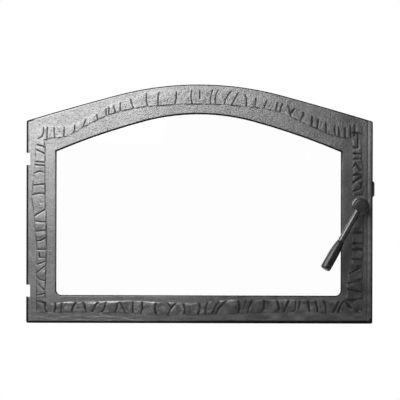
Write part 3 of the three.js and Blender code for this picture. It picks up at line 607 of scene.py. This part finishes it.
def castFrame(finish):
    c = casting
    xs, zs, height, paintedShade, paintedHighlight = carveFace()
    skin = makeSkin(xs, zs, height)
    for level in c["notchHeights"]:
        low = (c["cutAside"], c["cutFront"], level - c["notchHigh"] / 2)
        high = (-doorArch["halfWidth"] + c["notchDeep"], c["cutBack"], level + c["notchHigh"] / 2)
        skin = combine(skin, blockMesh(low, high), "DIFFERENCE")
    plug = makePlug(c["spindleHole"], c["cutFront"], c["cutBack"], c["holeSides"], spindlePlace)
    skin = combine(skin, plug, "DIFFERENCE")
    whole = combine(skin, makeRear(), "UNION")
    whole.name = "doorCasting"
    finishMesh(whole, c["smooth"])
    paintFace(whole, xs, zs, paintedShade, paintedHighlight)
    print("cast frame:", len(whole.polygons), "faces")
    addPiece("door_casting", whole, finish, "door", ["door_frame"])


# Masks that the finish reads: painted shade in the hollows, painted highlight on the crests, and painted
# shade on the turned-down edges
def paintFace(mesh, xs, zs, paintedShade, paintedHighlight):
    co = np.zeros(len(mesh.vertices) * 3)
    mesh.vertices.foreach_get("co", co)
    x, y, z = (co.reshape(-1, 3) * 1000 + hingeFoot).T
    d = edgeShading
    onFace = 1 - smoothStep(y, *d["faceBack"])
    # painted shade near the door's outer edge, wider at the left and along the foot
    wide = d["thin"] + (d["wide"] - d["thin"]) * smoothStep(-x, *d["leftRim"])
    foot = d["foot"] + d["footEast"] * smoothStep(x, *d["east"])
    turned = insideDepth(doorArch, x, z) / np.maximum(wide, foot * smoothStep(-z, *d["footUp"]))
    # painted shade near the window's edge, wider round the arch
    wide = d["thin"] + (d["arch"] - d["thin"]) * smoothStep(z, *d["archUp"])
    aside = -insideDepth(windowArch, x, z) / wide
    # painted light: the edge shade is lessened on the window's left side, as where light falls on it
    lit = d["litSide"] * smoothStep(-x, *d["litLeft"]) * smoothStep(z, *d["litFrom"])
    lit *= 1 - smoothStep(z, *d["litTo"])
    turned, aside = smoothStep(turned, *d["fade"]), smoothStep(aside, *d["fade"])
    masks = {
        "paintedShade": readMap(xs, zs, paintedShade, x, z) * onFace,
        "paintedHighlight": readMap(xs, zs, paintedHighlight, x, z) * onFace,
        "edgeShade": 1 - turned * (1 - (1 - aside) * (1 - lit)),
    }
    for name, values in masks.items():
        layer = mesh.attributes.new(name, "FLOAT", "POINT")
        layer.data.foreach_set("value", values.astype(np.float32))


# A small hand for wiring nodes: make() places one and sets its sockets, from values or links;
# n0, n1 and so on name a socket by its number
class Wiring:
    def __init__(self, tree):
        self.tree = tree

    def make(self, kind, settings=None, **sockets):
        node = self.tree.nodes.new(kind)
        for key, value in (settings or {}).items():
            setattr(node, key, value)
        for key, value in sockets.items():
            self.put(node, key.replace("_", " "), value)
        return node

    def put(self, node, key, value):
        socket = node.inputs[int(key[1:])] if key[0] == "n" and key[1:].isdigit() else node.inputs[key]
        if isinstance(value, bpy.types.NodeSocket):
            self.tree.links.new(value, socket)
        else:
            socket.default_value = value

    def math(self, operation, first, second):
        return self.make("ShaderNodeMath", {"operation": operation}, n0=first, n1=second).outputs[0]

    # share is the part that the first value has in the sum
    def blend(self, first, second, share):
        return self.math("ADD", self.math("MULTIPLY", first, share), self.math("MULTIPLY", second, 1 - share))

    def ramp(self, value, fromMin, fromMax, toMin=0.0, toMax=1.0):
        return self.make("ShaderNodeMapRange", Value=value, From_Min=fromMin, From_Max=fromMax,
                         To_Min=toMin, To_Max=toMax).outputs["Result"]

    def mix(self, share, first, second):
        settings = {"data_type": "RGBA", "clamp_factor": True}
        return self.make("ShaderNodeMix", settings, n0=share, n6=first, n7=second).outputs[2]

    def noise(self, vector, scale, detail=2.0, roughness=0.5):
        return self.make("ShaderNodeTexNoise", Vector=vector, Scale=scale, Detail=detail,
                         Roughness=roughness).outputs["Fac"]

    def bump(self, strength, distance, height):
        return self.make("ShaderNodeBump", Strength=strength, Distance=distance,
                         Height=height).outputs["Normal"]


# A group with its named inputs and outputs, ready to be wired; triples are vectors
def startGroup(name, inputs, outputs):
    group = bpy.data.node_groups.new(name, "ShaderNodeTree")
    for label, value in inputs.items():
        kind = "NodeSocketVector" if isinstance(value, tuple) else "NodeSocketFloat"
        group.interface.new_socket(name=label, in_out="INPUT", socket_type=kind).default_value = value
    for label in outputs:
        kind = "NodeSocketVector" if label == "Normal" else "NodeSocketFloat"
        group.interface.new_socket(name=label, in_out="OUTPUT", socket_type=kind)
    w = Wiring(group)
    given, out = w.make("NodeGroupInput"), w.make("NodeGroupOutput")
    return group, w, given.outputs, out, w.make("ShaderNodeTexCoord").outputs["Object"]


# Sand-cast skin: a fine grain in the normal, and slow patches in tone and gloss
def castGrainGroup():
    sizes = {"Grain Size": 900.0, "Grain Depth": 0.25, "Patch Size": 14.0}
    group, w, given, out, place = startGroup("castGrain", sizes, ("Tone", "Gloss", "Normal"))
    pitSize, pitEdge, pitDepth = 0.3, (0.3, 0.42), 0.7      # against the grain
    grain = w.noise(place, given["Grain Size"], detail=3.0, roughness=0.6)
    pits = w.noise(place, w.math("MULTIPLY", given["Grain Size"], pitSize))
    patch = w.noise(place, given["Patch Size"], detail=4.0, roughness=0.6)
    height = w.math("ADD", grain, w.math("MULTIPLY", w.ramp(pits, *pitEdge), pitDepth))
    w.put(out, "Tone", w.blend(patch, w.blend(pits, grain, share=0.6), share=0.35))
    w.put(out, "Gloss", w.blend(patch, pits, share=0.5))
    w.put(out, "Normal", w.bump(given["Grain Depth"], distance=0.0006, height=height))
    return group


# Long fine lines from turning or drawing, along one axis of the object
def drawnLinesGroup():
    group, w, given, out, place = startGroup(
        "drawnLines", {"Along": (40.0, 40.0, 900.0), "Line Depth": 0.1}, ("Tone", "Normal"))
    stretched = w.make("ShaderNodeVectorMath", {"operation": "MULTIPLY"}, n0=place, n1=given["Along"])
    lines = w.noise(stretched.outputs[0], scale=3.0, detail=3.0, roughness=0.6)
    smudge = w.noise(place, scale=60.0, detail=3.0, roughness=0.6)
    w.put(out, "Tone", w.blend(lines, smudge, share=0.6))
    w.put(out, "Normal", w.bump(given["Line Depth"], distance=0.0003, height=lines))
    return group


# Fibres twisted or woven fine, for rope and tape
def fibreGroup():
    group, w, given, out, place = startGroup(
        "fibre", {"Thread Size": 700.0, "Thread Depth": 0.5}, ("Tone", "Normal"))
    threadShare, toneShare = 0.5, 0.66
    threads = w.make("ShaderNodeTexWave", {"wave_type": "BANDS", "bands_direction": "DIAGONAL"},
                     Vector=place, Scale=given["Thread Size"], Distortion=3.0, Detail=2.0)
    fuzz = w.noise(place, given["Thread Size"], detail=3.0, roughness=0.7)
    height = w.math("ADD", w.math("MULTIPLY", threads.outputs["Fac"], threadShare), fuzz)
    w.put(out, "Tone", w.math("MULTIPLY", height, toneShare))
    w.put(out, "Normal", w.bump(given["Thread Depth"], distance=0.0004, height=height))
    return group


castGrain, drawnLines, fibre = castGrainGroup(), drawnLinesGroup(), fibreGroup()


# A material or world with its nodes cleared away
def emptied(owner):
    owner.use_nodes = True
    owner.node_tree.nodes.clear()
    return Wiring(owner.node_tree)


def startFinish(name, **constants):
    finish = bpy.data.materials.new(name)
    w = emptied(finish)
    shader = w.make("ShaderNodeBsdfPrincipled", **constants)
    w.make("ShaderNodeOutputMaterial", Surface=shader.outputs[0])
    return finish, w, shader


def placeGroup(w, group, **sockets):
    return w.make("ShaderNodeGroup", {"node_tree": group}, **sockets).outputs


def grey(value):
    return value, value, value, 1


toneSpan = (0.35, 0.65)     # the part of a noise that is spread from dark to light
ironLook = {
    "dark": (0.15, 0.15, 0.152, 1), "light": (0.28, 0.28, 0.282, 1), "metallic": 0.98, "gloss": (0.36, 0.44),
    # colours of painted shade in the hollows, of painted highlight on the crests and of painted shade on the
    # turned-down edges
    "paintedShade": grey(0.02), "paintedHighlight": grey(0.42), "edge": grey(0.012),
    "paintedShadeShows": 0.95, "paintedHighlightShows": 0.3, "hollowRougher": 0.2,
    "grainSize": 950.0, "grainDepth": 0.4, "patchSize": 13.0,
}


def ironFinish(name, masked):
    look = ironLook
    finish, w, shader = startFinish(name, Metallic=look["metallic"])
    grain = placeGroup(w, castGrain, Grain_Size=look["grainSize"], Grain_Depth=look["grainDepth"],
                       Patch_Size=look["patchSize"])
    colour = w.mix(w.ramp(grain["Tone"], *toneSpan), look["dark"], look["light"])
    gloss = w.ramp(grain["Gloss"], *toneSpan, *look["gloss"])
    if masked:
        paintedShade, paintedHighlight, edgeShade = [w.make("ShaderNodeAttribute", {"attribute_name": key}).outputs["Fac"]
                                   for key in ("paintedShade", "paintedHighlight", "edgeShade")]
        # painted highlight on the crests
        colour = w.mix(w.math("MULTIPLY", paintedHighlight, look["paintedHighlightShows"]), colour, look["paintedHighlight"])
        # painted shade in the hollows
        colour = w.mix(w.math("MULTIPLY", paintedShade, look["paintedShadeShows"]), colour, look["paintedShade"])
        # painted shade on the turned-down edges
        colour = w.mix(edgeShade, colour, look["edge"])
        gloss = w.math("ADD", gloss, w.math("MULTIPLY", paintedShade, look["hollowRougher"]))
    w.put(shader, "Base Color", colour)
    w.put(shader, "Roughness", gloss)
    w.put(shader, "Normal", grain["Normal"])
    return finish


blackLooks = {
    "blackSteel": {"metallic": 0.6, "dark": 0.055, "light": 0.095, "gloss": (0.22, 0.3), "coat": (0.0, 0.1)},
    "rosetteBlack": {"metallic": 0.8, "dark": 0.13, "light": 0.2, "gloss": (0.2, 0.28), "coat": (0.0, 0.1)},
    "hubBlack": {"metallic": 0.6, "dark": 0.03, "light": 0.055, "gloss": (0.42, 0.5), "coat": (0.0, 0.05)},
    "gripBlack": {"metallic": 0.0, "dark": 0.009, "light": 0.018, "gloss": (0.32, 0.4), "coat": (0.0, 0.1)},
}
blackGrain = {"Grain_Size": 420.0, "Grain_Depth": 0.04, "Patch_Size": 40.0}
coatSpan, coatRough = (0.2, 0.8), 0.08


def blackFinish(name):
    look = blackLooks[name]
    finish, w, shader = startFinish(name, Metallic=look["metallic"], Coat_Roughness=coatRough)
    grain = placeGroup(w, castGrain, **blackGrain)
    tone = w.ramp(grain["Tone"], *toneSpan)
    w.put(shader, "Base Color", w.mix(tone, grey(look["dark"]), grey(look["light"])))
    w.put(shader, "Roughness", w.ramp(grain["Gloss"], *toneSpan, *look["gloss"]))
    w.put(shader, "Coat Weight", w.ramp(grain["Gloss"], *coatSpan, *look["coat"]))
    w.put(shader, "Normal", grain["Normal"])
    return finish


# Bright metals with drawn lines, and threads of glass fibre with a little sheen
metalLooks = {
    "plainSteel": {"dark": (0.42, 0.42, 0.43, 1), "light": (0.6, 0.6, 0.61, 1), "gloss": (0.28, 0.42)},
    "bronzeBush": {"dark": (0.38, 0.24, 0.1, 1), "light": (0.52, 0.35, 0.16, 1), "gloss": (0.3, 0.45)},
}
threadLooks = {
    "ropeGrey": {"dark": (0.02, 0.02, 0.021, 1), "light": (0.085, 0.085, 0.088, 1), "size": 600.0},
    "tapeWhite": {"dark": (0.5, 0.49, 0.46, 1), "light": (0.74, 0.73, 0.7, 1), "size": 700.0},
}
lineDepth, threadDepth, threadSpan, threadGloss = 0.12, 0.5, (0.3, 0.7), (0.95, 0.8)


def tonedFinish(look, start, group, span, gloss):
    finish, w, shader = start
    w.put(shader, "Base Color", w.mix(w.ramp(group["Tone"], *span), look["dark"], look["light"]))
    w.put(shader, "Roughness", w.ramp(group["Tone"], *span, *gloss))
    w.put(shader, "Normal", group["Normal"])
    return finish


def metalFinish(name):
    look, start = metalLooks[name], startFinish(name, Metallic=1.0)
    group = placeGroup(start[1], drawnLines, Line_Depth=lineDepth)
    return tonedFinish(look, start, group, toneSpan, look["gloss"])


def threadFinish(name):
    look, start = threadLooks[name], startFinish(name, Sheen_Weight=0.3, Sheen_Roughness=0.5)
    group = placeGroup(start[1], fibre, Thread_Size=look["size"], Thread_Depth=threadDepth)
    return tonedFinish(look, start, group, threadSpan, threadGloss)


glassLook = {
    "ior": 1.3, "hazeScale": 18.0, "hazeSpan": (0.3, 0.7),
    "clear": grey(1), "tint": (0.997, 1, 0.998, 1), "rough": (0.0, 0.012),
}


def glassFinish():
    finish, w, shader = startFinish("ceramicGlass", Metallic=0.0, IOR=glassLook["ior"],
                                    Transmission_Weight=1.0)
    place = w.make("ShaderNodeTexCoord").outputs["Object"]
    haze = w.noise(place, glassLook["hazeScale"], detail=3.0, roughness=0.6)
    w.put(shader, "Base Color", w.mix(haze, glassLook["tint"], glassLook["clear"]))
    w.put(shader, "Roughness", w.ramp(haze, *glassLook["hazeSpan"], *glassLook["rough"]))
    return finish


castIron, castIronBare = ironFinish("castIronFace", True), ironFinish("castIronBack", False)
blackSteel, rosetteBlack, hubBlack, gripBlack = [blackFinish(name) for name in blackLooks]
plainSteel, bronze = [metalFinish(name) for name in metalLooks]
ropeGrey, tapeWhite = [threadFinish(name) for name in threadLooks]
ceramicGlass = glassFinish()
print("finishes made")

castFrame(castIron)


# What the pieces of the handle share; it leans left and slopes forward, in degrees
handle = {"rodDepth": 17.0, "lean": 30.0, "slope": 11.4, "sides": 72, "bevel": 0.5, "play": 0.3, "bore": 3.3}
handlePlace = (spindlePlace @ Matrix.Translation((0, -handle["rodDepth"], 0))
               @ Matrix.Rotation(math.radians(handle["lean"]), 4, "Y")
               @ Matrix.Rotation(-math.radians(90 + handle["slope"]), 4, "X"))
bevel, play, bore = handle["bevel"], handle["play"], handle["bore"]


def handlePiece(name, profile, place, finish):
    mesh = makeTurned(profile, handle["sides"])
    mesh.transform(place)
    addPiece(name, mesh, finish, "handle", ["handle_" + name])


def quarterRound(radius, along, size, start, steps=8):
    angles = start + np.linspace(0, math.pi / 2, steps)
    return [(radius + size * math.cos(a), along + size * math.sin(a)) for a in angles]


rosette = {"radius": 16.0, "bore": 4.3, "back": -0.3, "front": -3.1, "round": 1.8, "fall": 0.3, "seat": 12.6}


def makeRosette():
    radius, hole, front, back, size = [rosette[key] for key in ("radius", "bore", "front", "back", "round")]
    rim = quarterRound(radius - size, front + rosette["fall"] + size, size, -math.pi / 2)
    profile = [(hole, front), (rosette["seat"], front), *rim, (radius, back), (hole, back)]
    handlePiece("rosette", profile, spindlePlace, rosetteBlack)


hub = {
    "radius": 12.4, "back": -3.4, "front": -28.4, "round": 3.0, "foot": -3.9,
    "neck": (-8.0, -7.6, -6.6, -6.2),           # a shallow groove round the hub
    "bore": 4.3, "boreFront": -23.7, "boreSides": 40,
    "socketStart": 7.7, "socketEnd": 20.4, "socketSides": 56,
}
rod = {
    "root": 6.2, "tip": 6.1, "start": 8.0, "end": 78.5, "bevel": 0.3, "tail": 3.0, "tailEnd": 106.5,
    "taperFrom": 12.4, "taperNext": 16, "taperLast": 77.5, "rings": 12,
}


# The hub is bored for the spindle, and its socket for the rod
def makeHub():
    radius, size = hub["radius"], hub["round"]
    rim = quarterRound(radius - size, hub["front"] + size, size, -math.pi / 2)
    neck = [(radius - inward, along) for inward, along in zip((0, bevel, bevel, 0), hub["neck"])]
    foot = [(radius, hub["foot"]), (radius - bevel, hub["back"]), (0, hub["back"])]
    body = makeTurned([(0, hub["front"]), *rim, *neck, *foot], handle["sides"])
    body.transform(spindlePlace)
    wide = rod["root"] + play
    for plug in (makePlug(hub["bore"], hub["boreFront"], 0, hub["boreSides"], spindlePlace),
                 makePlug(wide, hub["socketStart"], hub["socketEnd"], hub["socketSides"], handlePlace)):
        body = combine(body, plug, "DIFFERENCE")
    finishMesh(body)
    addPiece("hub", body, hubBlack, "handle", ["handle_hub"])


# A tapered rod, with a thin tail inside the grip
def makeRod():
    root, tip, end, tail = rod["root"], rod["tip"], rod["end"], rod["tail"]
    profile = [(0, rod["start"]), (root, rod["start"]), (root, rod["taperFrom"])]
    for along in np.linspace(rod["taperNext"], rod["taperLast"], rod["rings"]):
        share = (along - rod["taperFrom"]) / (end - rod["taperFrom"])
        profile.append((root + (tip - root) * share, along))
    profile += [(tip - rod["bevel"], end), (tail, end), (tail, rod["tailEnd"]), (0, rod["tailEnd"])]
    handlePiece("rod", profile, handlePlace, blackSteel)


collar = {"radius": 6.7, "start": 78.8, "end": 81.0}


def makeCollar():
    radius, start, end = collar["radius"], collar["start"], collar["end"]
    profile = [(bore, start), (radius - bevel, start), (radius, start + bevel),
               (radius, end - bevel), (radius - bevel, end), (bore, end)]
    handlePiece("collar", profile, handlePlace, blackSteel)


grip = {
    "thin": 7.0, "thick": 9.75, "start": 81.3, "end": 141.1, "bevel": 0.6, "round": 3.4, "tail": 9,
    "full": 0.6, "firstShare": 0.08, "rings": 16,       # it swells over the first "full" of its length
}


def makeGrip():
    thin, thick, start, end, size = [grip[key] for key in ("thin", "thick", "start", "end", "round")]
    floor = rod["tailEnd"] + play
    swell = [(bore, floor), (bore, start), (thin - grip["bevel"], start), (thin, start + grip["bevel"])]
    for share in np.linspace(grip["firstShare"], 1, grip["rings"]):
        grown = math.sin(min(share / grip["full"], 1) * math.pi / 2)
        swell.append((thin + (thick - thin) * grown, start + (end - start - grip["tail"]) * share))
    cap = quarterRound(thick - size, end - size, size, 0)
    handlePiece("grip", [(0, floor), *swell, *cap, (0, end)], handlePlace, gripBlack)


makeRosette()
makeHub()
makeRod()
makeCollar()
makeGrip()
print("handle made")


# Loops that follow the window, one for each (inset, depth) of a profile
def windowLoops(counts, profile):
    return np.stack([np.insert(outline(windowArch, counts, inset), 1, depth, axis=1)
                     for inset, depth in profile], 1)


def ringMesh(name, grid, smooth):
    columns, rows = grid.shape[:2]
    faces = gridFaces(columns, rows, closeRows=True).tolist()
    return closedMesh(name, toRow(grid.reshape(-1, 3)), faces, smooth)


rope = {
    "inset": 23.6, "depth": 11.8, "radius": 4.5, "around": 24, "strandRise": 0.55, "pitch": 9.0, "strands": 4,
    "under": 0.35, "counts": (420, 320, 430), "smooth": 80,
}


# A knitted rope: two families of strands cross over and under each other
def makeRope():
    middle = outline(windowArch, rope["counts"], rope["inset"])
    ahead = np.roll(middle, -1, axis=0) - np.roll(middle, 1, axis=0)
    outward = np.column_stack([ahead[:, 1], -ahead[:, 0]]) / np.linalg.norm(ahead, axis=1)[:, None]
    steps = np.linalg.norm(np.roll(middle, -1, axis=0) - middle, axis=1)
    along = np.concatenate([[0], np.cumsum(steps)[:-1]]) / steps.sum()
    turns = round(steps.sum() / rope["pitch"])
    angles = np.arange(rope["around"]) * 2 * math.pi / rope["around"]
    s, a = np.meshgrid(along * turns, angles, indexing="ij")
    share = a * rope["strands"] / (2 * math.pi)
    one, two = np.abs(np.sin(math.pi * (share + s))), np.abs(np.sin(math.pi * (share - s)))
    over = 0.5 + 0.5 * np.sin(2 * math.pi * s) * np.sin(2 * math.pi * share)
    bulge = np.maximum(one * (1 - rope["under"] + rope["under"] * over), two * (1 - rope["under"] * over))
    radius = rope["radius"] - rope["strandRise"] * (1 - bulge)
    across = radius * np.cos(a)
    x = middle[:, None, 0] + across * outward[:, None, 0]
    z = middle[:, None, 1] + across * outward[:, None, 1]
    y = rope["depth"] + radius * np.sin(a)
    mesh = ringMesh("rope", np.stack([x, y, z], -1), rope["smooth"])
    addPiece("rope_seal", mesh, ropeGrey, "door", ["door_rope"])


tape = {
    "inner": 2.0, "outer": 7.5, "front": 7.3, "back": 9.0, "round": 0.5, "roundSteps": 4,
    "counts": (280, 200, 290), "smooth": 50,
}


def makeTape():
    rounding, profile = tape["round"], []
    for inset, depth, turn in ((tape["inner"], tape["front"], 180), (tape["outer"], tape["front"], 270),
                               (tape["outer"], tape["back"], 0), (tape["inner"], tape["back"], 90)):
        middleX = inset + (rounding if inset == tape["inner"] else -rounding)
        middleY = depth + (rounding if depth == tape["front"] else -rounding)
        for angle in np.radians(turn + np.linspace(0, 90, tape["roundSteps"])):
            profile.append((middleX + rounding * math.cos(angle), middleY + rounding * math.sin(angle)))
    mesh = ringMesh("glassTape", windowLoops(tape["counts"], profile), tape["smooth"])
    addPiece("glass_tape", mesh, tapeWhite, "door", ["glass_gasket"])


glass = {"overlap": 8.0, "front": 9.3, "back": 13.3, "arris": 0.4, "counts": (60, 60, 160), "smooth": 20}


def makeGlass():
    g = glass
    grid = windowLoops(g["counts"], [
        (g["overlap"] - g["arris"], g["front"]), (g["overlap"], g["front"] + g["arris"]),
        (g["overlap"], g["back"] - g["arris"]), (g["overlap"] - g["arris"], g["back"])])
    columns, rows = grid.shape[:2]
    faces = gridFaces(columns, rows).tolist()
    faces += [[k * rows for k in range(columns)], [k * rows + rows - 1 for k in reversed(range(columns))]]
    mesh = closedMesh("glassPane", toRow(grid.reshape(-1, 3)), faces, g["smooth"])
    addPiece("window_glass", mesh, ceramicGlass, "door", ["glass_pane"])


makeRope()
makeTape()
makeGlass()
print("seals and glass made")

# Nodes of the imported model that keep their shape: finish, and how far their edges are eased
kept = {
    "hinge_arm_lower": (castIronBare, 0.9), "hinge_arm_upper": (castIronBare, 0.9),
    "hinge_washer_lower": (plainSteel, 0.2), "hinge_washer_upper": (plainSteel, 0.2),
    "hinge_pin_lower": (plainSteel, 0.3), "hinge_pin_upper": (plainSteel, 0.3),
    "handle_hub_pin": (plainSteel, 0.2), "latch_spindle": (plainSteel, 0.25), "spindle_bush": (bronze, 0.2),
    "latch_spring_washer": (plainSteel, 0.25), "latch_cam": (plainSteel, 0.6),
    "latch_washer": (plainSteel, 0.25), "latch_nut": (plainSteel, 0.5),
}
clipCount, clipEase, screwEase = 8, 0.3, 0.2
for number in range(1, clipCount + 1):
    kept[f"glass_clip_{number}"] = (plainSteel, clipEase)
    kept[f"glass_clip_screw_{number}"] = (plainSteel, screwEase)
easing = {"weld": 1e-6, "segments": 2, "angle": 40}
for name, (finish, eased) in kept.items():
    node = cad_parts[name]
    node.data.materials.clear()
    node.data.materials.append(finish)
    node.modifiers.new("weld", "WELD").merge_threshold = easing["weld"]
    soften = node.modifiers.new("soften", "BEVEL")
    soften.width, soften.segments, soften.limit_method = eased / 1000, easing["segments"], "ANGLE"
    soften.angle_limit = math.radians(easing["angle"])
    soften.use_clamp_overlap = True
print("kept nodes finished:", len(kept))


studio = {
    "cameraAway": 4500.0, "fieldWide": 761.9, "aimX": 0.8, "aimZ": 235.0, "roll": 0.15, "sensor": 36,
    "backdropFrom": (0.8, 0.99), "roomSpan": (-0.3, 1.0), "roomLight": (0.01, 0.08),
    "floorMiddle": 0.29, "floorDrop": 0.5, "floorRadius": 2.0, "floorThick": 0.01, "floorSides": 96,
    "floorGrey": 0.86, "floorBehind": (1.0, 1.9), "floorFade": (0.5, 1.8), "floorWhite": (0.55, 1.0),
    "lampAim": (0, 0, 227),
}
# Lamps round the door: degrees to its right and up, metres away, size in metres and watts
lamps = {
    "keyLamp": {"side": -29.0, "rise": 34.0, "away": 1.0, "wide": 1.0, "high": 1.0, "power": 20.0},
    "stripLamp": {"side": 58.0, "rise": -4.0, "away": 1.6, "wide": 0.06, "high": 0.9, "power": 0.7},
    "backLamp": {"side": 160.0, "rise": 34.0, "away": 1.8, "wide": 1.2, "high": 1.2, "power": 24.0},
}


def direction(side, rise):
    turn, lift = math.radians(side), math.radians(rise)
    return Vector((math.sin(turn) * math.cos(lift), -math.cos(turn) * math.cos(lift), math.sin(lift)))


def addLamp(name, side, rise, away, wide, high, power):
    data = bpy.data.lights.new(name, "AREA")
    data.shape, data.size, data.size_y, data.energy = "RECTANGLE", wide, high, power
    lamp = addToScene(name, data)
    middle = Vector(toRow(studio["lampAim"]))
    lamp.location = middle + away * direction(side, rise)
    lamp.rotation_euler = (middle - lamp.location).to_track_quat("-Z", "Y").to_euler()


# The white backdrop, for the camera, for what is seen through glass, and for reflections
# that reach behind the door; reflections of the room in front of it stay out
def whiteTo(w, kind, behind):
    path = w.make("ShaderNodeLightPath").outputs
    mirrored = w.math("MULTIPLY", path["Is Glossy Ray"], behind)
    seen = w.math("MAXIMUM", path["Is Camera Ray"], mirrored)
    seen = w.math("MAXIMUM", seen, path["Is Transmission Ray"])
    return seen, w.make(kind, Strength=1.0, Color=grey(1)).outputs[0]


def makeWorld():
    world = bpy.data.worlds.new("studio")
    bpy.context.scene.world = world
    w = emptied(world)
    towards = w.make("ShaderNodeTexCoord").outputs["Generated"]
    depth = w.make("ShaderNodeSeparateXYZ", Vector=towards).outputs["Y"]
    seen, white = whiteTo(w, "ShaderNodeBackground", w.ramp(depth, *studio["backdropFrom"]))
    key = direction(lamps["keyLamp"]["side"], lamps["keyLamp"]["rise"])
    fromKey = w.make("ShaderNodeVectorMath", {"operation": "DOT_PRODUCT"}, n0=towards, n1=key)
    strength = w.ramp(fromKey.outputs["Value"], *studio["roomSpan"], *studio["roomLight"])
    room = w.make("ShaderNodeBackground", Strength=strength, Color=grey(1))
    both = w.make("ShaderNodeMixShader", n0=seen, n1=room.outputs[0], n2=white)
    w.make("ShaderNodeOutputWorld", Surface=both.outputs[0])


def makeFloor():
    finish = bpy.data.materials.new("paleFloor")
    w = emptied(finish)
    place = w.make("ShaderNodeTexCoord").outputs["Object"]
    depth = w.make("ShaderNodeSeparateXYZ", Vector=place).outputs["Y"]
    seen, white = whiteTo(w, "ShaderNodeEmission", w.ramp(depth, *studio["floorBehind"]))
    paint = w.make("ShaderNodeBsdfDiffuse", Color=grey(studio["floorGrey"]))
    away = w.make("ShaderNodeVectorMath", {"operation": "LENGTH"}, n0=place)
    fade = w.ramp(away.outputs["Value"], *studio["floorFade"], *studio["floorWhite"])
    share = w.math("MULTIPLY", seen, fade)
    both = w.make("ShaderNodeMixShader", n0=share, n1=paint.outputs[0], n2=white)
    w.make("ShaderNodeOutputMaterial", Surface=both.outputs[0])
    radius, thick = studio["floorRadius"], studio["floorThick"]
    disc = makeTurned([(radius, 0), (radius, -thick), (0, -thick), (0, 0)], studio["floorSides"])
    disc.transform(Matrix.Rotation(math.pi / 2, 4, "X"))
    disc.materials.append(finish)
    floor = addToScene("floor", disc)
    floor.location = (studio["floorMiddle"], 0, cadLow.z - studio["floorDrop"])


def makeCamera():
    data = bpy.data.cameras.new("camera")
    data.sensor_width = studio["sensor"]
    data.lens = studio["sensor"] * studio["cameraAway"] / studio["fieldWide"]
    camera = addToScene("camera", data)
    camera.location = toRow([studio["aimX"], -studio["cameraAway"], studio["aimZ"]])
    camera.rotation_euler = (math.pi / 2, -math.radians(studio["roll"]), 0)
    bpy.context.scene.camera = camera
    bpy.context.scene.view_settings.view_transform = "Standard"


makeWorld()
makeFloor()
for name, lamp in lamps.items():
    addLamp(name, **lamp)
makeCamera()
print("studio made")
